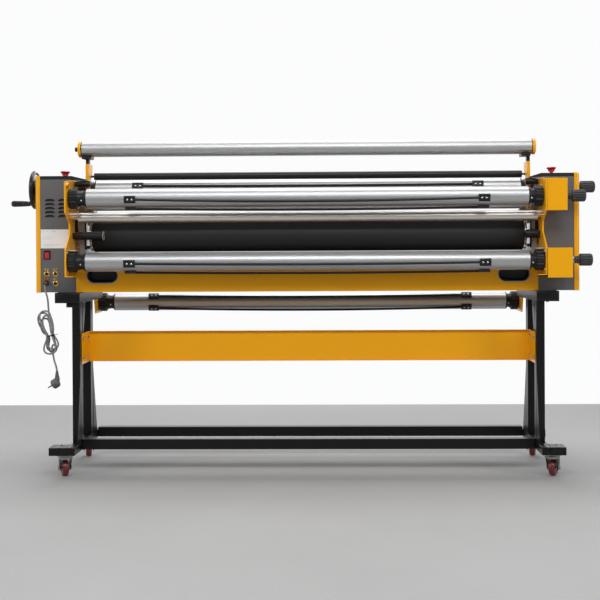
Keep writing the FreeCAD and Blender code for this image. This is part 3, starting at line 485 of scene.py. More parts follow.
def block(x0, x1, y0, y1, z0, z1, bevel=0.0, segments=2):
    # the two x values may come in either order
    x0, x1 = sorted((x0, x1))
    shape = bmesh.new()
    bmesh.ops.create_cube(shape, size=1.0)
    bmesh.ops.scale(shape, vec=(x1 - x0, y1 - y0, z1 - z0), verts=shape.verts)
    bmesh.ops.translate(shape, vec=((x0 + x1) / 2, (y0 + y1) / 2, (z0 + z1) / 2), verts=shape.verts)
    if bevel:
        roundEdges(shape, shape.edges[:], bevel, segments)
    return shape


def roundEdges(shape, edges, width, segments=2):
    bmesh.ops.bevel(shape, geom=edges, offset=width, segments=segments, profile=0.5, affect="EDGES",
        material=-1)


def join(target, *others):
    # pour other shapes into the first
    for other in others:
        mesh = bpy.data.meshes.new("part")
        other.to_mesh(mesh)
        other.free()
        target.from_mesh(mesh)
        bpy.data.meshes.remove(mesh)
    return target


def turned(shape, degrees, axis, centre=(0, 0, 0)):
    bmesh.ops.rotate(shape, cent=Vector(centre), matrix=Matrix.Rotation(math.radians(degrees), 3, axis),
        verts=shape.verts)
    return shape


def aimed(shape, along):
    # turn a shape drawn along X to lie along another axis
    if along == "Y":
        turned(shape, 90, "Z")
    if along == "Z":
        turned(shape, -90, "Y")


def mirroredX(shape):
    bmesh.ops.scale(shape, vec=(-1, 1, 1), verts=shape.verts)
    bmesh.ops.reverse_faces(shape, faces=shape.faces)
    return shape


def fluted(shape, centre, count, depth, inner, outer, sharp=1.0):
    # press lengthwise flutes into a turned shape, deeper towards its outer radius
    for vert in shape.verts:
        y, z = vert.co.y - centre[0], vert.co.z - centre[1]
        radius = math.hypot(y, z)
        if radius > inner:
            share = min(1.0, (radius - inner) / (outer - inner))
            wave = (0.5 + 0.5 * math.cos(count * math.atan2(z, y))) ** sharp
            grow = (radius - depth * wave * share) / radius
            vert.co.y, vert.co.z = centre[0] + y * grow, centre[1] + z * grow
    return shape


def stadiumRings(centre, half, radius, rings, capped=True):
    # loops shaped like a rounded slot, one for each (grow, y), bridged in turn and capped at the last
    shape = bmesh.new()
    loops = []
    for grow, y in rings:
        loop = []
        for end in (1, -1):
            for step in range(13):
                angle = math.radians(-90 + 15 * step) if end > 0 else math.radians(90 + 15 * step)
                loop.append(shape.verts.new((centre[0] + end * half + (radius + grow) * math.cos(angle), y,
                    centre[1] + (radius + grow) * math.sin(angle))))
        loops.append(loop)
    for first, second in zip(loops, loops[1:]):
        for index in range(len(first)):
            follow = (index + 1) % len(first)
            shape.faces.new((first[index], first[follow], second[follow], second[index]))
    if capped:
        shape.faces.new(loops[-1])
    bmesh.ops.recalc_face_normals(shape, faces=shape.faces)
    return shape


def boltHead(centre, along, radius, height, kind="hex"):
    # a bolt head with its washer, facing along an axis; minus turns it round
    sign = -1 if along.startswith("-") else 1
    axis = along[-1]
    steps = 6 if kind == "hex" else 20
    if kind == "dome":
        head = lathe([(0, 0), (0, radius), (height * 0.25, radius), (height * 0.7, radius * 0.8),
            (height * 0.95, radius * 0.45), (height, radius * 0.3), (height * 0.6, radius * 0.28),
            (height * 0.6, 0)], 24)
    else:
        head = lathe([(0, 0), (0, radius), (height - radius * 0.08, radius), (height, radius * 0.92),
            (height, radius * 0.5), (height * 0.6, radius * 0.45), (height * 0.6, 0)], steps)
        join(head, lathe([(0, 0), (0, radius * 1.3), (height * 0.2, radius * 1.3),
            (height * 0.25, radius * 1.2), (height * 0.25, 0)], 24))
    if sign < 0:
        mirroredX(head)
    aimed(head, axis)
    bmesh.ops.translate(head, vec=Vector(centre), verts=head.verts)
    return head


# mains cord: one line from the gland through the tied hank to the plug

cord = {
    "diameter": 7.0, "length": 1.65, "turns": 4,
    "drop": [(-1024, 51.0, 735.5), (-1024, 36.0, 735.0), (-1022, 22.0, 724.0), (-1017, 17.5, 703.0),
        (-1009, 20.0, 675.0), (-1010, 28.0, 639.0)],
    "tail": [(-992, 33.0, 448.0), (-988, 32.0, 430.0), (-981, 31.0, 412.0), (-978, 31.0, 394.0)],
    "tie": (-1003.0, 33.0, 531.0),
}


def hankPoints(setup):
    # loops that fan out above and below the tie; each turn is a little longer or shorter than the last
    tops = [(-1022, 630, 23), (-1031, 622, 22), (-1017, 612, 20), (-1027, 600, 19)]
    bottoms = [(-1004, 459, 26), (-993, 478, 24), (-1001, 470, 20), (-997, 464, 18)]
    tie = setup["tie"]
    points = []
    for turn in range(setup["turns"]):
        tx, tz, tw = tops[turn]
        bx, bz, bw = bottoms[turn]
        y = tie[1] + (-9.0, -2.0, 4.5, 10.0)[turn]
        side = (7.5, 4.0, 8.0, 3.5)[turn]
        points += [(tie[0] + side, y - 2, tie[2] + 8), (tx + tw + 5, y, tz - 55), (tx + tw, y + 1, tz - 24),
            (tx + tw * 0.62, y, tz - 2), (tx - tw * 0.62, y, tz - 2), (tx - tw, y - 1, tz - 25),
            (tx - tw * 0.5, y, tz - 60), (tie[0] - side, y + 2, tie[2] - 2), (bx - bw, y, bz + 24),
            (bx - bw * 0.62, y, bz + 2), (bx + bw * 0.62, y, bz + 2), (bx + bw, y, bz + 24)]
    return points


def makeCord(setup):
    route = setup["drop"] + hankPoints(setup) + [(-1000, 33.0, 500.0)] + setup["tail"]
    curve = bpy.data.curves.new("mains_cord", "CURVE")
    curve.dimensions = "3D"
    line = curve.splines.new("NURBS")
    line.points.add(len(route) - 1)
    for point, place in zip(line.points, route):
        point.co = (*at(*place), 1.0)
    line.order_u = 3
    line.use_endpoint_u = True
    line.resolution_u = 10
    curve.bevel_depth = setup["diameter"] / 2 * mm
    curve.bevel_resolution = 5
    curve.use_fill_caps = True
    piece = bpy.data.objects.new("mains_cord", curve)
    bpy.context.scene.collection.objects.link(piece)
    curve.materials.append(finishes["cordGrey"])
    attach(piece, "machine")
    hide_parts("power_cord", "cord_hank")
    bare = curve.copy()
    bare.bevel_depth = 0.0
    probe = bpy.data.objects.new("probe", bare)
    mesh = bpy.data.meshes.new_from_object(probe)
    length = sum((mesh.vertices[e.vertices[0]].co - mesh.vertices[e.vertices[1]].co).length
        for e in mesh.edges)
    bpy.data.objects.remove(probe)
    bpy.data.meshes.remove(mesh)
    print("cord length", round(length, 4))
    return piece


mainsCord = makeCord(cord)


# mains cord fittings: strain relief, tie and plug

plug = {"top": (-978.0, 31.0, 394.0), "middle": (-985.0, 31.0, 345.0)}


def makeCordFittings(setup):
    relief = lathe([(0, 0), (0, 7.2), (4, 7.6), (6, 6.4), (10, 6.6), (12, 5.9), (16, 6.0), (18, 5.3),
        (23, 5.2), (25, 4.4), (29, 4.0), (29, 3.0), (0, 3.0)], 40, (-1024.0, 20.0, 735.3), "Y")
    turned(relief, 180, "Z", (-1024.0, 33.5, 735.3))
    addPiece("strain_relief", relief, "machine", "plugGrey")
    x, y, z = cord["tie"]
    band = lathe([(-2.2, 11.6), (-2.2, 13.0), (2.2, 13.0), (2.2, 11.6), (-2.2, 11.6)], 48, (0, 0, 0), "Z")
    bmesh.ops.scale(band, vec=(0.98, 1.18, 1.0), verts=band.verts)
    join(band, block(11.0, 15.5, -3.0, 3.0, -3.2, 3.2, 0.8), block(14.0, 31.0, -1.8, 1.8, -0.8, 0.8, 0.4))
    turned(band, -12, "Y")
    bmesh.ops.translate(band, vec=(x, y, z), verts=band.verts)
    tie = addPiece("cord_tie", band, "machine", "blackSkin")
    px, py, pz = setup["middle"]
    head = lathe([(-12, 0), (-12, 15.5), (-10.5, 18.0), (-6, 19.0), (9, 18.6), (13, 16.5), (15.5, 12),
        (16.5, 0)], 48)
    join(head, lathe([(-14.0, 0), (-14.0, 12.5), (-13.0, 13.5), (-11.0, 13.5), (-11.0, 0)], 40))
    for offset in (-9.5, 9.5):
        pin = lathe([(-31.0, 0), (-31.0, 1.6), (-30.2, 2.4), (-12.0, 2.4), (-12.0, 0)], 24, (0, offset, 0))
        join(head, pin)
    for side in (-1, 1):
        for step in range(4):
            ridge = block(-7 + step * 4.4, -5 + step * 4.4, -6, 6, 18.0, 19.6, 0.5)
            join(head, turned(ridge, 90 * side, "X"))
    turned(head, -math.degrees(math.atan2(0.6, 1.0)), "Y")
    bmesh.ops.translate(head, vec=(px, py, pz), verts=head.verts)
    top = Vector(setup["top"])
    foot = Vector((px + 7, py, pz + 8))
    profile = [(0, 0), (0, 9.6), (8, 10.6), (16, 9.2)]
    for step in range(5):
        x0 = 17 + step * 4.4
        profile += [(x0, 8.4 - step * 0.7), (x0 + 2.2, 8.6 - step * 0.7), (x0 + 2.4, 6.8 - step * 0.55),
            (x0 + 4.0, 6.7 - step * 0.55)]
    profile += [((top - foot).length, 4.8), ((top - foot).length, 0)]
    boot = lathe(profile, 40)
    bmesh.ops.rotate(boot, cent=(0, 0, 0), matrix=(top - foot).to_track_quat("X", "Z").to_matrix(),
        verts=boot.verts)
    bmesh.ops.translate(boot, vec=foot, verts=boot.verts)
    join(head, boot)
    body = addPiece("plug_body", head, "machine", "plugGrey", ("mains_plug",))
    return tie, body


cordTie, plugPiece = makeCordFittings(plug)
print("cord made")


# sheet metal and frame: CAD shapes with their edges rounded

roundedFinishes = {
    "stand_feet": ("frameBlack", 1.6), "stand_posts": ("frameBlack", 1.6), "stand_rails": ("frameBlack",
        1.6),
    "stretcher_panel": ("goldPaint", 0.6), "side_frames": ("goldPaint", 0.9), "rear_beam": ("goldPaint",
        0.9),
    "end_covers": ("goldPaint", 0.7), "brake_boxes": ("goldPaint", 0.6), "roller_arms": ("goldPaint", 1.2),
    "bearing_plates": ("plateSteel", 1.0), "cabinet_left": ("cabinetGrey", 0.4),
    "cabinet_right": ("cabinetGrey", 0.4), "top_caps": ("capBlack", 1.4), "tube_saddles": ("hubPlastic",
        1.0),
    "feed_table": ("cabinetGrey", 0.7), "bearing_blocks": ("groundSteel", 0.8), "gear_motor": ("frameBlack",
        1.2),
    "caster_plates": ("zinc", 0.6),
}
for node, (finishName, width) in roundedFinishes.items():
    rounded(node, finishName, width)
for spot in casterPlaces:
    rounded("caster_fork_" + spot, "frameBlack", 0.5)
print("sheet metal and frame rounded")

plainFinishes = {
    "drive_belt": "beltRubber", "motor_pulley": "groundSteel", "lift_shaft": "groundSteel",
    "lower_roller_core": "groundSteel", "upper_roller_core": "groundSteel",
}
for node, finishName in plainFinishes.items():
    piece = frame["nodes"][node]
    piece.data.materials.clear()
    piece.data.materials.append(finishes[finishName])
print("plain finishes set")


# supply and take-up shafts: grooved tube, bowed grip cords, clips, hubs

gripAngles = (190.0, 270.0, 10.0)
shaftTurns = {"near_upper": 0.0, "near_lower": 0.0, "far_upper": -27.0, "bottom": -50.0}
shaft = {"half": 847.0, "radius": 37.0, "spindle": 12.0, "grooves": 16, "clip": 655.5, "clipLength": 43.5,
    "cordRadius": 4.5, "hub": 40.0, "hubEnds": {1: (870.0, 902.0), -1: (884.0, 916.0)}, "grooveDepth": 0.9,
    "grooveWidth": 1.6}
gripSag = {"near_upper": (13.5, 6.0), "near_lower": (7.0, 4.0), "far_upper": (3.0, 3.0), "bottom": (9.0, 6.0)}


def groovedOutline(radius, grooves, depth, width):
    # points round a circle with shallow lengthwise grooves
    points = []
    for index in range(grooves):
        middle = 2 * math.pi * (index + 0.5) / grooves
        half = width / radius / 2
        step = 2 * math.pi / grooves
        for share in range(5):
            angle = middle - step / 2 + (step / 2 - half) * share / 4
            points.append((radius * math.cos(angle), radius * math.sin(angle)))
        for angle in (middle - half * 0.7, middle + half * 0.7):
            points.append(((radius - depth) * math.cos(angle), (radius - depth) * math.sin(angle)))
        for share in range(4):
            angle = middle + half + (step / 2 - half) * share / 4
            points.append((radius * math.cos(angle), radius * math.sin(angle)))
    return points


def makeShaft(name, place):
    half, radius = shaft["half"], shaft["radius"]
    body = name + "_spool"
    tube = prism(groovedOutline(radius, shaft["grooves"], shaft["grooveDepth"], shaft["grooveWidth"]),
        -half, half)
    for side in (-1, 1):
        pin = lathe([(0, 0), (0, shaft["spindle"]), (70.0, shaft["spindle"]), (75.0, 10.0), (75.0, 0)], 40,
            (half - 0.5, 0, 0))
        join(tube, pin if side > 0 else mirroredX(pin))
    bmesh.ops.translate(tube, vec=(0, *place), verts=tube.verts)
    addPiece(name + "_tube", tube, body, "shaftAluminium", (name + "_shaft",), 25)
    fittings = bmesh.new()
    for base in gripAngles:
        angle = base + shaftTurns[name]
        join(fittings, makeGripCord(angle, gripSag[name]))
        for side in (-1, 1):
            join(fittings, makeClip(side, angle))
    bmesh.ops.translate(fittings, vec=(0, *place), verts=fittings.verts)
    addPiece(name + "_grips", fittings, body, "hubPlastic")
    hubs = bmesh.new()
    screws = bmesh.new()
    for side in (-1, 1):
        hub, hubScrews = makeHub(side)
        join(hubs, hub)
        join(screws, hubScrews)
        for base in gripAngles:
            join(screws, makeClipScrews(side, base + shaftTurns[name]))
    for shape in (hubs, screws):
        bmesh.ops.translate(shape, vec=(0, *place), verts=shape.verts)
    addPiece(name + "_hubs", hubs, body, "hubPlastic", (name + "_chucks",), 30)
    addPiece(name + "_hub_screws", screws, body, "boltSteel")


def makeGripCord(angle, sag):
    # a rubber cord between two clips: it slips down the tube's face, or hangs off its underside
    slip, hang = sag
    down = -1 if math.cos(math.radians(angle)) > 0 else 1
    ring, before = None, None
    rope = bmesh.new()
    for step in range(-16, 17):
        share = step / 16
        bow = 1 - share * share
        low = math.radians(angle + (down * slip * bow if abs(math.cos(math.radians(angle))) > 0.5 else 0))
        radius = shaft["radius"] + shaft["cordRadius"] + 0.3 + (hang * bow if 200 < angle < 300 else 0)
        place = Vector((share * (shaft["clip"] + 6), radius * math.cos(low), radius * math.sin(low)))
        if ring is None:
            matrix = Matrix.Translation(place) @ Matrix.Rotation(math.pi / 2, 4, "Y")
            bmesh.ops.create_circle(rope, segments=12, radius=shaft["cordRadius"], matrix=matrix)
            ring = rope.edges[:]
        else:
            pushed = bmesh.ops.extrude_edge_only(rope, edges=ring)
            ring = [item for item in pushed["geom"] if isinstance(item, bmesh.types.BMEdge)]
            moved = [item for item in pushed["geom"] if isinstance(item, bmesh.types.BMVert)]
            bmesh.ops.translate(rope, vec=place - before, verts=moved)
        before = place
    bmesh.ops.recalc_face_normals(rope, faces=rope.faces)
    return rope


def makeClip(side, angle):
    # a moulded saddle curved to the tube
    inner, outer = shaft["radius"] - 0.3, shaft["radius"] + 8.5
    outline = []
    for step in range(-5, 6):
        a = math.radians(step * 4.0)
        outline.append((inner * math.cos(a), inner * math.sin(a)))
    outline += [(outer - 3.5, 15.0), (outer, 10.5), (outer, -10.5), (outer - 3.5, -15.0)]
    clip = prism(outline, shaft["clip"], shaft["clip"] + shaft["clipLength"])
    roundEdges(clip, [e for e in clip.edges if e.calc_face_angle(0.0) > 0.6], 1.2, 2)
    # the outline lies in the Y, Z plane with Y outwards; turn it round the tube
    turned(clip, angle, "X")
    return mirroredX(clip) if side < 0 else clip


def makeClipScrews(side, angle):
    screws = bmesh.new()
    for x in (shaft["clip"] + 12, shaft["clip"] + 29):
        outer = shaft["radius"] + 8.3
        join(screws, lathe([(0, 0), (0, 3.6), (1.0, 3.5), (1.9, 2.4), (2.1, 1.0), (1.2, 0.8), (1.2, 0)], 18,
            (x, outer, 0), "Y"))
    turned(screws, angle, "X")
    return mirroredX(screws) if side < 0 else screws


def makeHub(side):
    # ribbed drum, waisted collar and a flange against the tube, drawn for the right end
    x0, x1 = shaft["hubEnds"][side]
    inner, radius = shaft["half"] + 0.4, shaft["hub"]
    waist = (inner + x0) / 2
    hub = lathe([(x0, 12.2), (x0, radius - 5), (x0 + 1, radius - 2.5), (x0 + 3, radius), (x0 + 12, radius),
        (x0 + 20, radius), (x1 - 3, radius), (x1 - 1, radius - 2.5), (x1, radius - 5), (x1, radius - 12),
        (x1 - 2, radius - 13), (x1 - 2, 12.2)], 160)
    fluted(hub, (0, 0), 20, 2.6, radius - 8, radius, 3.0)
    join(hub, lathe([(inner, 12.2), (inner, 35.0), (inner + 1, 36.4), (inner + 4.5, 36.4),
        (inner + 5.5, 35.0), (inner + 6, 30.0), (waist, 28.5), (x0 - 4, 31.0), (x0 - 1.5, 33.0),
        (x0 + 1, 33.0), (x0 + 1, 12.2)], 64))
    screws = bmesh.new()
    for index in range(4):
        screw = lathe([(0, 0), (0, 3.6), (2.2, 3.4), (3.0, 2.4), (3.0, 1.7), (1.2, 1.5), (1.2, 0)], 18,
            (waist, 27.6, 0), "Y")
        join(screws, turned(screw, 90 * index + 200, "X"))
    if side < 0:
        mirroredX(hub)
        mirroredX(screws)
    return hub, screws


for name, place in shaftPlaces.items():
    makeShaft(name, place)
print("shafts made")


# other rollers

rollerSetup = {
    "idler": {"place": (50.0, 990.0), "radius": 20.5, "half": 893.0, "pins": (-921.0, 908.0), "pin": 8.0},
    "black": {"place": (140.0, 1157.0), "radius": 14.3, "half": 849.0, "pins": (-872.0, 872.0), "pin": 4.0},
}


def makePlainRoller(name, setup, body, finishName, node):
    half, radius, pin = setup["half"], setup["radius"], setup["pin"]
    left, right = setup["pins"]
    profile = [(left, 0), (left, pin - 0.6), (left + 0.6, pin), (-half - 0.2, pin), (-half, radius - 5),
        (-half, radius - 0.8), (-half + 0.8, radius)]
    profile += [(-half + 0.8 + (2 * half - 1.6) * step / 8, radius) for step in range(1, 9)]
    profile += [(half, radius - 0.8), (half, radius - 5), (half + 0.2, pin), (right - 0.6, pin),
        (right, pin - 0.6), (right, 0)]
    addPiece(name, lathe(profile, 64, (0, *setup["place"])), body, finishName, (node,))


makePlainRoller("idler_polished", rollerSetup["idler"], "idler", "idlerSteel", "idler_roller")
makePlainRoller("black_idler_skin", rollerSetup["black"], "black_idler", "blackSkin", "black_roller")

topTube = {"ends": (-888.0, 880.0), "place": (110.0, 1263.0), "radius": 30.5, "capEnd": 16.5}


def makeTopTube(setup):
    left, right = setup["ends"]
    r = setup["radius"]
    tube = prism(groovedOutline(r, 12, 0.5, 1.4), left, right)
    bmesh.ops.translate(tube, vec=(0, *setup["place"]), verts=tube.verts)
    addPiece("top_tube_grooved", tube, "top_tube", "shaftAluminium", ("top_tube",), 25)
    seal = [(0.2, 8.0), (0.2, r - 1.0), (4.2, r - 1.0), (4.2, 8.0)]
    ring = [(4.0, 8.0), (4.0, r + 0.6), (5.0, r + 1.4), (13.0, r + 1.4), (15.5, r - 0.5), (16.5, r - 4),
        (16.3, r - 8), (14.5, r - 9), (14.5, 9.5), (16.0, 9.0), (16.0, 0)]
    seals = lathe(seal, 64, (right, *setup["place"]))
    caps = lathe(ring, 64, (right, *setup["place"]))
    join(seals, mirroredX(lathe(seal, 64, (-left, *setup["place"]))))
    join(caps, mirroredX(lathe(ring, 64, (-left, *setup["place"]))))
    addPiece("top_tube_plugs", caps, "top_tube", "goldPaint", ("top_tube_caps",))
    addPiece("top_tube_seals", seals, "top_tube", "blackSkin")
    pin = lathe([(-919.0, 0), (-919.0, 7.5), (-917.5, 9.0), (-903.0, 9.0), (-903.0, 0)], 32,
        (0, *setup["place"]))
    addPiece("top_tube_pin", pin, "top_tube", "blackSkin")


makeTopTube(topTube)
print("rollers made")


# rubber rollers: ground rubber with turned edges, over the cores finished in ground steel above

nipRollers = {"lower": (150.0, 789.0), "upper": (150.0, 921.0), "half": 852.0, "radius": 65.0}


def makeRubber(name, setup):
    half, radius = setup["half"], setup["radius"]
    profile = [(-half, radius - 10), (-half, radius - 4), (-half + 1.2, radius - 1.4), (-half + 4, radius)]
    profile += [(-half + 4 + (2 * half - 8) * step / 12, radius) for step in range(1, 13)]
    profile += [(half - 1.2, radius - 1.4), (half, radius - 4), (half, radius - 10), (-half, radius - 10)]
    rubber = lathe(profile, 96, (0, *setup[name]))
    addPiece(name + "_rubber_skin", rubber, nodeBody[name + "_roller_rubber"], "rollerRubber",
        (name + "_roller_rubber",))


makeRubber("lower", nipRollers)
makeRubber("upper", nipRollers)


# ruler marks along the near lower shaft, on its face below the grip cord

ruler = {"angle": 232.0, "pitch": 10.0, "half": 820.0}


def makeRuler(setup):
    marks = bmesh.new()
    count = int(setup["half"] * 2 / setup["pitch"])
    radius = shaft["radius"]
    for index in range(count + 1):
        x = -setup["half"] + index * setup["pitch"]
        tall = 5.0 if index % 10 == 0 else (3.4 if index % 5 == 0 else 2.2)
        mark = block(x - 0.45, x + 0.45, radius - 0.15, radius + 0.12, -tall / 2, tall / 2)
        join(marks, mark)
    turned(marks, setup["angle"], "X")
    bmesh.ops.translate(marks, vec=(0, *shaftPlaces["near_lower"]), verts=marks.verts)
    addPiece("near_lower_ruler", marks, "near_lower_spool", "printGrey")


makeRuler(ruler)
print("ruler made")


# knobs, handwheel and crank grip

knobs = {"near_upper": (1015.0, 1069.0), "near_lower": (1040.0, 1089.0), "far_upper": (1088.0, 1146.0),
    "radius": 23.5, "start": 934.0, "flutes": 14}


def makeKnob(name, setup):
    collar, end = setup[name]
    radius = setup["radius"]
    profile = [(collar, 0), (collar, radius - 3), (collar + 1, radius - 1), (collar + 3, radius)]
    profile += [(collar + 3 + (end - collar - 12) * step / 5, radius) for step in range(1, 6)]
    profile += [(end - 5, radius - 1.0), (end - 2.4, radius - 3.4), (end - 0.8, radius - 7.5),
        (end, radius - 13), (end, 0)]
    grip = lathe(profile, 140, (0, *shaftPlaces[name]))
    fluted(grip, shaftPlaces[name], setup["flutes"], 2.6, radius - 9, radius, 3.0)
    neck = [(setup["start"], 0), (setup["start"], 8.0), (collar - 20, 8.0), (collar - 20, 12.2),
        (collar - 19, 13.0), (collar - 9, 13.0), (collar - 8, 15.5), (collar - 1, 15.5), (collar + 1, 13.0),
        (collar + 1, 0)]
    join(grip, lathe(neck, 48, (0, *shaftPlaces[name])))
    addPiece("knob_" + name + "_grip", grip, "knob_" + name, "knobPlastic", ("knob_" + name,), 30)
    nut = lathe([(collar - 27, 8.0), (collar - 27, 11.0), (collar - 21, 11.0), (collar - 21, 8.0),
        (collar - 27, 8.0)], 6, (0, *shaftPlaces[name]))
    addPiece("knob_" + name + "_nut", nut, "knob_" + name, "boltSteel")


for name in ("near_upper", "near_lower", "far_upper"):
    makeKnob(name, knobs)

wheel = {"axis": (180.0, 1107.0), "rim": 70.0, "rimX": -1098.0, "pin": (153.0, 1051.0)}


def makeHandwheel(setup):
    rim, x = setup["rim"], setup["rimX"]
    rings = []
    for step in range(20):
        angle = 2 * math.pi * step / 20
        rings.append((x + 7.6 * math.cos(angle), rim + 7.8 * math.sin(angle)))
    shape = lathe(rings + rings[:1], 120, (0, *setup["axis"]))
    dish = lathe([(x - 1, 64), (x + 1.5, 60), (x + 3.5, 48), (x + 3.5, 34), (x + 1, 24), (x - 6, 20),
        (x - 12, 18.5), (x - 12, 11), (x + 26, 11), (x + 26, 19.5), (x + 10, 20), (x + 7.5, 34),
        (x + 7.5, 48), (x + 5, 61), (x + 2.5, 64.5), (x - 1, 64)], 120, (0, *setup["axis"]))
    join(shape, dish)
    boss = lathe([(-1108.5, 4.0), (-1108.5, 7.5), (-1107, 9.0), (-1096, 9.5), (-1094, 11), (-1094, 4.0),
        (-1108.5, 4.0)], 32, (0, *setup["pin"]))
    join(shape, boss)
    addPiece("handwheel_dish", shape, "handwheel", "wheelGloss", ("handwheel",), 40)
    steel = lathe([(-1110, 0), (-1110, 9.0), (-1108.5, 10.0), (-952, 10.0), (-950, 17.0), (-938, 17.0),
        (-936, 10.0), (-936, 0)], 40, (0, *setup["axis"]))
    join(steel, lathe([(-1184, 0), (-1184, 4.0), (-1096, 4.0), (-1096, 0)], 24, (0, *setup["pin"])))
    join(steel, boltHead((-1110, *setup["axis"]), "-X", 7.5, 5.0))
    addPiece("handwheel_steel", steel, "handwheel", "boltSteel")
    grip = [(-1186, 4.3), (-1186, 7.0), (-1185.2, 8.8), (-1183, 10.8), (-1180, 11.9), (-1175, 12.3),
        (-1168, 12.2), (-1167, 11.4), (-1166, 12.1), (-1140, 11.4), (-1139, 10.7), (-1138, 11.2),
        (-1120, 10.2), (-1113, 9.4), (-1110.5, 8.6), (-1109.5, 7.6), (-1109.5, 4.3), (-1186, 4.3)]
    addPiece("crank_grip_turned", lathe(grip, 56, (0, *setup["pin"])), "crank_grip", "wheelGloss",
        ("crank_grip",))


makeHandwheel(wheel)
print("knobs and wheel made")


# power panel: sockets, gland, rocker switch and rating label

panel = {"front": 60.0, "sockets": [(-1022.0, 772.0), (-987.5, 772.5), (-987.5, 734.5)],
    "gland": (-1024.0, 735.5), "earth": (-1024.0, 753.0), "rocker": (-1021.0, 845.5), "pivot": 66.0,
    "tilt": 7.0, "label": (-1046.0, -930.0, 872.0, 946.0)}


def makeSockets(setup):
    front = setup["front"]
    metal, black, pins = bmesh.new(), bmesh.new(), bmesh.new()
    for x, z in setup["sockets"]:
        flange = [(-1.5, 6.2), (-1.5, 11.2), (-1.2, 12.4), (-0.4, 13.0), (0.0, 13.0), (0.0, 6.2), (-1.5, 6.2)]
        join(metal, lathe(flange, 40, (x, front, z), "Y"))
        collar = [(-7.0, 6.1), (-7.0, 8.0), (-6.4, 9.0), (-5.0, 9.0), (-4.6, 8.4), (-4.0, 9.0), (-3.4, 8.4),
            (-2.8, 9.0), (12.0, 9.0), (12.0, 6.1), (-7.0, 6.1)]
        join(metal, lathe(collar, 40, (x, front, z), "Y"))
        join(metal, block(x - 7.5, x + 7.5, front - 1.4, front - 0.1, z + 8, z + 19, 0.6))
        join(metal, lathe([(-2.4, 0), (-2.4, 2.2), (-1.9, 2.9), (-1.3, 2.9), (-1.3, 0)], 18,
            (x, front, z + 15.4), "Y"))
        join(black, lathe([(-6.0, 1.8), (-6.0, 6.1), (4.4, 6.1), (4.4, 0), (3.6, 0), (3.6, 1.8),
            (-6.0, 1.8)], 32, (x, front, z), "Y"))
        join(pins, lathe([(-5.6, 0), (-5.6, 0.8), (-5.0, 1.2), (3.8, 1.2), (3.8, 0)], 16, (x, front, z), "Y"))
    addPiece("socket_rims", metal, "machine", "brass", ("power_sockets",))
    addPiece("socket_bores", black, "machine", "hubPlastic")
    addPiece("socket_pins", pins, "machine", "brass")


def makePanelFittings(setup):
    front = setup["front"]
    x, z = setup["gland"]
    gland = lathe([(-9.0, 3.8), (-9.0, 5.6), (-8.0, 6.6), (-6.0, 6.9), (10.0, 6.9), (10.0, 3.8),
        (-9.0, 3.8)], 40, (x, front, z), "Y")
    join(gland, lathe([(-4.8, 6.0), (-4.8, 10.2), (-4.2, 11.0), (-0.4, 11.0), (0, 10.4), (0, 6.0)], 6,
        (x, front, z), "Y"))
    x, z = setup["rocker"]
    bezel = block(x - 13.5, x + 13.5, front - 2, front - 0.05, z + 13.6, z + 17.5, 0.7)
    join(bezel, block(x - 13.5, x + 13.5, front - 2, front - 0.05, z - 17.5, z - 13.6, 0.7),
        block(x - 13.5, x - 9, front - 2, front - 0.05, z - 17.4, z + 17.4, 0.7),
        block(x + 9, x + 13.5, front - 2, front - 0.05, z - 17.4, z + 17.4, 0.7),
        block(x - 11, x + 11, front + 15, front + 18, z - 14.5, z + 14.5))
    join(bezel, gland)
    addPiece("rocker_bezel", bezel, "machine", "hubPlastic", ("panel_fittings",))
    earthX, earthZ = setup["earth"]
    nut = lathe([(-4.0, 5.0), (-4.0, 9.5), (-3.2, 10.4), (-0.3, 10.4), (-0.3, 5.0)], 6,
        (earthX, front, earthZ), "Y")
    join(nut, lathe([(-6.2, 0), (-6.2, 4.6), (-5.4, 5.6), (-3.6, 5.6), (-3.6, 0)], 28,
        (earthX, front, earthZ), "Y"))
    addPiece("earth_nut", nut, "machine", "copperBolt")
    key = prism([(front - 5.5, z - 12), (front - 3.6, z - 5), (front - 2.5, z), (front - 3.6, z + 5),
        (front - 5.5, z + 12), (front - 0.5, z + 12.6), (front + 14, z), (front - 0.5, z - 12.6)], x - 8.5,
        x + 8.5)
    roundEdges(key, [e for e in key.edges if e.calc_face_angle(0.0) > 0.5], 0.6, 2)
    join(key, lathe([(x - 8.9, 0), (x - 8.9, 1.5), (x + 8.9, 1.5), (x + 8.9, 0)], 16, (0, setup["pivot"], z)))
    turned(key, setup["tilt"], "X", (x, setup["pivot"], z))
    addPiece("rocker_key_red", key, "rocker", "redGloss", ("rocker_key",))


def makeLabel(setup):
    front = setup["front"]
    x0, x1, z0, z1 = setup["label"]
    addPiece("rating_label", block(x0, x1, front - 0.4, front - 0.02, z0, z1, 0.1, 1), "machine",
        "labelWhite")
    bars = bmesh.new()
    for row, (z, height, spans) in enumerate([(z1 - 8, 2.2, [(6, 12), (24, 30), (44, 60)]),
            (z0 + 16, 1.4, [(10, 84)]), (z0 + 11, 1.4, [(10, 70)]), (z1 - 30, 1.2, [(8, 52)]),
            (z1 - 37, 1.2, [(8, 44)]), (z0 + 6, 1.0, [(10, 50)])]):
        for start, stop in spans:
            join(bars, block(x0 + start, x0 + stop, front - 0.46, front - 0.38, z - height / 2,
                z + height / 2))
    addPiece("rating_label_bars", bars, "machine", "printFaint")


# the operator's keys on the back of the right cabinet
controls = {"plate": (930, 1022, 500, 504, 940, 1090), "display": (942, 1010, 503.5, 505, 1040, 1078),
    "firstKey": (952, 503.9, 1022), "pitch": (24, 26), "rows": 3, "columns": 3}


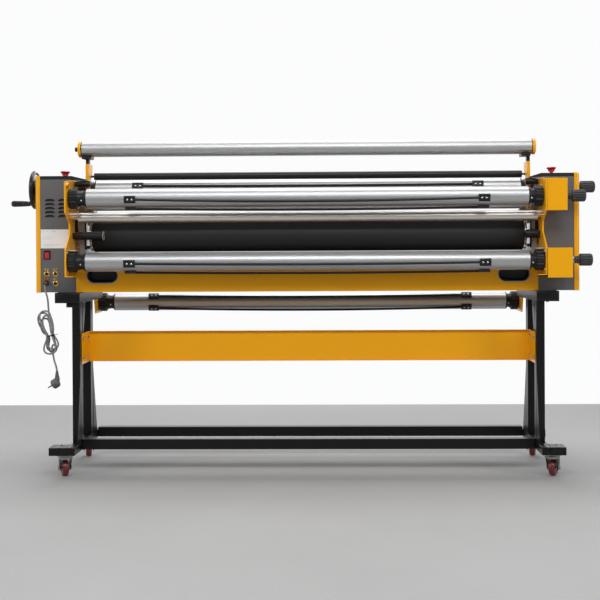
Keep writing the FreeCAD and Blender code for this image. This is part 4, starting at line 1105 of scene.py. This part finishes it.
def makeControls(setup):
    addPiece("control_plate", block(*setup["plate"], 1.2), "machine", "capBlack")
    addPiece("control_display", block(*setup["display"], 0.5), "machine", "screenGlass")
    x, y, z = setup["firstKey"]
    across, down = setup["pitch"]
    keys = bmesh.new()
    for row in range(setup["rows"]):
        for column in range(setup["columns"]):
            join(keys, lathe([(0, 0), (0, 7.4), (0.6, 7.4), (1.0, 6.6), (1.0, 0)], 28,
                (x + column * across, y, z - row * down), "Y"))
    addPiece("control_keys", keys, "machine", "lipGrey")


makeSockets(panel)
makePanelFittings(panel)
makeLabel(panel)
makeControls(controls)
print("power panel made")


# the left cabinet's louvres: two columns of arched hoods, pressed over the slots, and a black sheet behind
# the slots as painted shade of the cabinet's inside
louvres = {"columns": (-1009.0, -957.0), "rows": 5, "bottom": 997.0, "pitch": 15.6, "depth": (57.2, 60.0),
    "halfArch": [(7.2, 6.2), (13.4, 5.0), (17.5, 1.4), (18.5, -1.0)], "paintedShadeSheet": (-1034.0, -951.5)}


def makeLouvres(setup):
    hoods = bmesh.new()
    arch = [(-a, b) for a, b in reversed(setup["halfArch"])] + setup["halfArch"]
    inner = [(a * 0.94, b - 1.3) for a, b in reversed(arch)]
    for x in setup["columns"]:
        for row in range(setup["rows"]):
            z = setup["bottom"] + row * setup["pitch"]
            join(hoods, prism([(x + a, z + b) for a, b in arch + inner], *setup["depth"], "Y"))
    addPiece("louvre_hoods", hoods, "machine", "hubPlastic")
    # a black sheet behind the slots: painted shade, so the slots look dark
    shade = block(*setup["paintedShadeSheet"], 62.5, 64.0, 986.0, 1070.0)
    addPiece("louvre_painted_shade", shade, "machine", "beltRubber")


makeLouvres(louvres)


# emergency stops

stops = {"x": 966.0, "y": 140.0, "top": 1155.5, "raised": {"left": 0.0, "right": 4.0}}


def makeStops(setup):
    for side, hand in handed.items():
        raised = setup["raised"][side]
        x, y, z = setup["x"] * hand, setup["y"], setup["top"] + raised
        head = lathe([(-22 - raised, 0), (-22 - raised, 6.8), (6, 6.8), (6, 12.2), (8, 12.5), (13, 13.3),
            (17, 16.8), (18.6, 18.8), (19.6, 19.4), (21.6, 19.5), (22.6, 18.8), (23.6, 16.5), (24.3, 13.5),
            (24.0, 12.0), (24.5, 0)], 64, (x, y, z), "Z")
        addPiece("estop_" + side + "_head", head, "estop_" + side, "redGloss", ("estop_" + side,))
        ring = lathe([(0, 14.2), (2.6, 14.2), (3.0, 14.8), (3.0, 17.4), (2.2, 18.6), (0, 19.0), (0, 14.2)],
            48, (x, y, setup["top"]), "Z")
        addPiece("estop_" + side + "_seat", ring, "machine", "hubPlastic")


makeStops(stops)


# safety sensors, hand cups, bracket fittings and fasteners

sensor = {"axis": (62.0, 920.0)}


def makeSensors(setup):
    body = lathe([(-911, 0), (-911, 14.5), (-909, 15.5), (-880, 15.5), (-879, 14.6), (-872, 14.6),
        (-871, 15.5), (-806, 15.5), (-805, 14.0), (-800, 14.0), (-800, 0)], 56, (0, *setup["axis"]))
    join(body, lathe([(850, 0), (850, 15.0), (852, 17.0), (884, 17.0), (885, 16), (890, 16), (891, 17),
        (894, 17), (894, 0)], 56, (0, *setup["axis"])))
    y, z = setup["axis"]
    join(body, block(-918, -910.5, y - 12, y + 12, z - 12, z + 12, 1.0),
        block(893.5, 905, y - 12, y + 12, z - 12, z + 12, 1.0))
    addPiece("sensor_bodies", body, "machine", "blackSkin", ("safety_sensors",))
    ring = lathe([(-800.2, 12.0), (-800.2, 17.4), (-799.6, 18.0), (-797.6, 18.0), (-797.0, 17.4),
        (-797.0, 12.0), (-800.2, 12.0)], 56, (0, *setup["axis"]))
    addPiece("sensor_ring", ring, "machine", "lipGrey")
    lens = lathe([(-800, 0), (-800, 12.4), (-798.0, 12.0), (-797.2, 8.0), (-797.0, 0)], 48,
        (0, *setup["axis"]))
    addPiece("sensor_lens", lens, "machine", "screenGlass")


handCups = {"x": 804.0, "z": 763.0, "half": 32.0, "radius": 24.0}


def makeCups(setup):
    rims, pockets = bmesh.new(), bmesh.new()
    for hand in (-1, 1):
        shape = ((hand * setup["x"], setup["z"]), setup["half"], setup["radius"])
        join(rims, stadiumRings(*shape, [(3.2, 60.0), (6.4, 60.0), (6.6, 58.6), (5.6, 57.6), (3.6, 57.5),
            (2.9, 58.4), (2.9, 60.0)], False))
        join(pockets, stadiumRings(*shape, [(4.0, 59.9), (4.0, 57.9), (0.5, 57.2), (-0.8, 58.0),
            (-1.4, 60.0), (-2.0, 66.0), (-3.4, 76.0), (-7.0, 80.5), (-11.0, 81.0)]))
    addPiece("cup_rims", rims, "machine", "lipGrey")
    addPiece("cup_pockets", pockets, "machine", "hubPlastic", ("beam_cups",))


def makeBracketFittings():
    light, grey, dark, copper, chrome = (bmesh.new() for kind in range(5))
    for side, x in (("left", -918.0), ("right", 905.0)):
        hand = handed[side]
        inner = -hand
        # a shelf below the upper hub, and a gusset behind the idler's end
        shelfEnd = x + inner * (37.0 if side == "left" else 26.0)
        # the shelf and the thin plate below it take a pale colour that is painted reflection of the bright
        # light on their undersides
        join(light, block(x + inner * 0.5, shelfEnd, -14.0, 26.0, 999.0, 1007.5, 1.2))
        near, far = x + inner * 34.0, x + inner * 94.0
        gusset = prism([(near, 1003.0), (near + inner * 24, 1027.0), (near + inner * 30, 1027.0),
            (far, 1000.0)], 78.0, 82.0, "Y")
        join(grey, gusset)
        join(light, block(x + inner * 0.5, x + inner * 32.0, -40.0, 10.0, 862.0, 864.6, 0.5))
        # a dark guard strip beside the bearing plate, and a gib over the slot's open side
        join(dark, block(x + inner * 2, x + inner * 14, 84.0, 87.5, 902.0, 1010.0, 1.0))
        join(dark, block(hand * 877.5, hand * 871.0, 84.0, 87.5, 866.0, 1003.0, 1.0))
        # the black roller's end housing
        join(dark, lathe([(0, 0), (0, 10), (2, 12.6), (6, 13.4), (30, 13.4), (40, 12.4), (46, 10), (48, 0)],
            48, (x + inner * 20 if side == "left" else x - 54, 74.0, 1124.0)))
        join(dark, block(x + inner * 4, x + inner * 30, 66.0, 82.0, 1112.0, 1134.0, 3.0))
        for y, z in ((-44.0, 852.0), (-44.0, 784.0), (30.0, 1104.0)):
            join(chrome, boltHead((x, y, z), "X" if side == "left" else "-X", 5.0, 3.6))
        if side == "left":
            join(copper, boltHead((x, -46.0, 1112.0), "X", 11.0, 9.0, "dome"))
            for z in (892.0, 872.0):
                join(copper, boltHead((x + inner * 12.0, 84.0, z), "-Y", 4.0, 3.0, "dome"))
    # the shelves' pale colour is painted reflection
    addPiece("bracket_shelves", light, "machine", "paintedReflectionPale")
    addPiece("bracket_gussets", grey, "machine", "gussetGrey")
    addPiece("bracket_guards", dark, "machine", "hubPlastic")
    addPiece("bracket_copper_bolts", copper, "machine", "copperBolt")
    addPiece("bracket_bolts", chrome, "machine", "boltSteel")


# one row for each group of bolts on the right side, mirrored to the left:
# x places, y places, z places, the way they face, radius, height
boltGroups = [
    ((868.0,), (90.0,), (1012.0, 1023.0), "-Y", 4.6, 3.4),
    ((879.5,), (45.0, 62.0, 130.0, 150.0), (440.0, 517.0), "-X", 4.8, 3.4),
    ((901.0, 945.0), (-86.0, -40.0, 314.0, 360.0), (116.0,), "Z", 4.6, 3.4),
    ((930.0,), (40.0, 380.0), (659.0,), "-Z", 6.0, 4.6),
]
coverScrews = {"left": 1067.0, "right": 1060.0, "y": (90.0, 280.0, 470.0), "z": (740.0, 930.0, 1120.0)}
mirroredWay = {"X": "-X", "-X": "X"}


def makeFasteners(groups, setup):
    chrome, black = bmesh.new(), bmesh.new()
    for side, hand in handed.items():
        outward = "X" if hand > 0 else "-X"
        for y, z in itertools.product(setup["y"], setup["z"]):
            join(black, boltHead((hand * setup[side], y, z), outward, 4.2, 2.4, "dome"))
        for xs, ys, zs, way, radius, height in groups:
            facing = way if hand > 0 else mirroredWay.get(way, way)
            for x, y, z in itertools.product(xs, ys, zs):
                join(chrome, boltHead((hand * x, y, z), facing, radius, height))
    addPiece("frame_bolts", chrome, "machine", "boltSteel")
    addPiece("cover_screws", black, "machine", "capBlack")


def makeTubePlugs():
    # moulded plugs in the open tube ends, and the block under the left top rail
    plugs = bmesh.new()
    for hand, arm, rail in ((-1, 980.0, 978.0), (1, 971.5, 967.5)):
        for y in (-100.0, 300.0):
            join(plugs, block(hand * (arm - 1.5), hand * arm, y + 2.6, y + 72.4, 88.6, 113.4, 0.6))
        for y0, y1 in ((-100.0, -98.5), (373.5, 375.0)):
            join(plugs, block(hand * 883.6, hand * 910.4, y0, y1, 88.6, 113.4, 0.6))
        for y0, y1 in ((2.0, 4.0), (438.0, 440.0)):
            join(plugs, block(hand * 883.6, hand * (rail - 2.6), y0, y1, 661.6, 696.4, 0.8))
    join(plugs, block(-936.0, -913.5, 12.0, 52.0, 642.0, 659.0, 1.5))
    addPiece("tube_plugs", plugs, "machine", "frameBlack")


makeSensors(sensor)
makeCups(handCups)
makeBracketFittings()
makeFasteners(boltGroups, coverScrews)
makeTubePlugs()
print("small fittings made")


# castors: tyre with a hub and bearing, axle nuts and swivel race; the plate bolts are among the frame bolts

castor = {"radius": 32.0, "width": 24.0, "trail": 21.0, "forkTop": 79.0, "forkHalf": 21.0}


def makeCastor(name, place, setup):
    x, y, turn = place
    radius, half = setup["radius"], setup["width"] / 2
    axle = (y + setup["trail"], radius)
    tyre = lathe([(-half, 4.3), (-half, 8), (-half + 2.5, 9), (-half + 2.5, 19), (-half, 20), (-half, 26),
        (-half + 1, 28.5), (-half + 4, 31.2), (-half + 7, radius), (half - 7, radius), (half - 4, 31.2),
        (half - 1, 28.5), (half, 26), (half, 20), (half - 2.5, 19), (half - 2.5, 9), (half, 8), (half, 4.3),
        (-half, 4.3)], 72, (x, *axle))
    turned(tyre, turn, "Z", (x, y, 0))
    addPiece("castor_tyre_" + name, tyre, "wheel_" + name, "maroonWheel", ("caster_wheel_" + name,))
    hub = lathe([(-half - 0.3, 4.6), (-half - 0.3, 7.6), (half + 0.3, 7.6), (half + 0.3, 4.6),
        (-half - 0.3, 4.6)], 36, (x, *axle))
    turned(hub, turn, "Z", (x, y, 0))
    addPiece("castor_bearing_" + name, hub, "wheel_" + name, "boltSteel")
    nuts = bmesh.new()
    for side, way in ((1, "X"), (-1, "-X")):
        join(nuts, boltHead((x + side * setup["forkHalf"], *axle), way, 7.0, 5.5))
    join(nuts, lathe([(-9.5, 20), (-9.5, 25.2), (-8, 26.0), (-4, 26.0), (-3, 24.5), (-0.5, 24.5),
        (-0.5, 20)], 56, (x, y, setup["forkTop"]), "Z"))
    turned(nuts, turn, "Z", (x, y, 0))
    addPiece("castor_nuts_" + name, nuts, "caster_" + name, "zinc")


for name, place in casterPlaces.items():
    makeCastor(name, place, castor)
print("castors made")
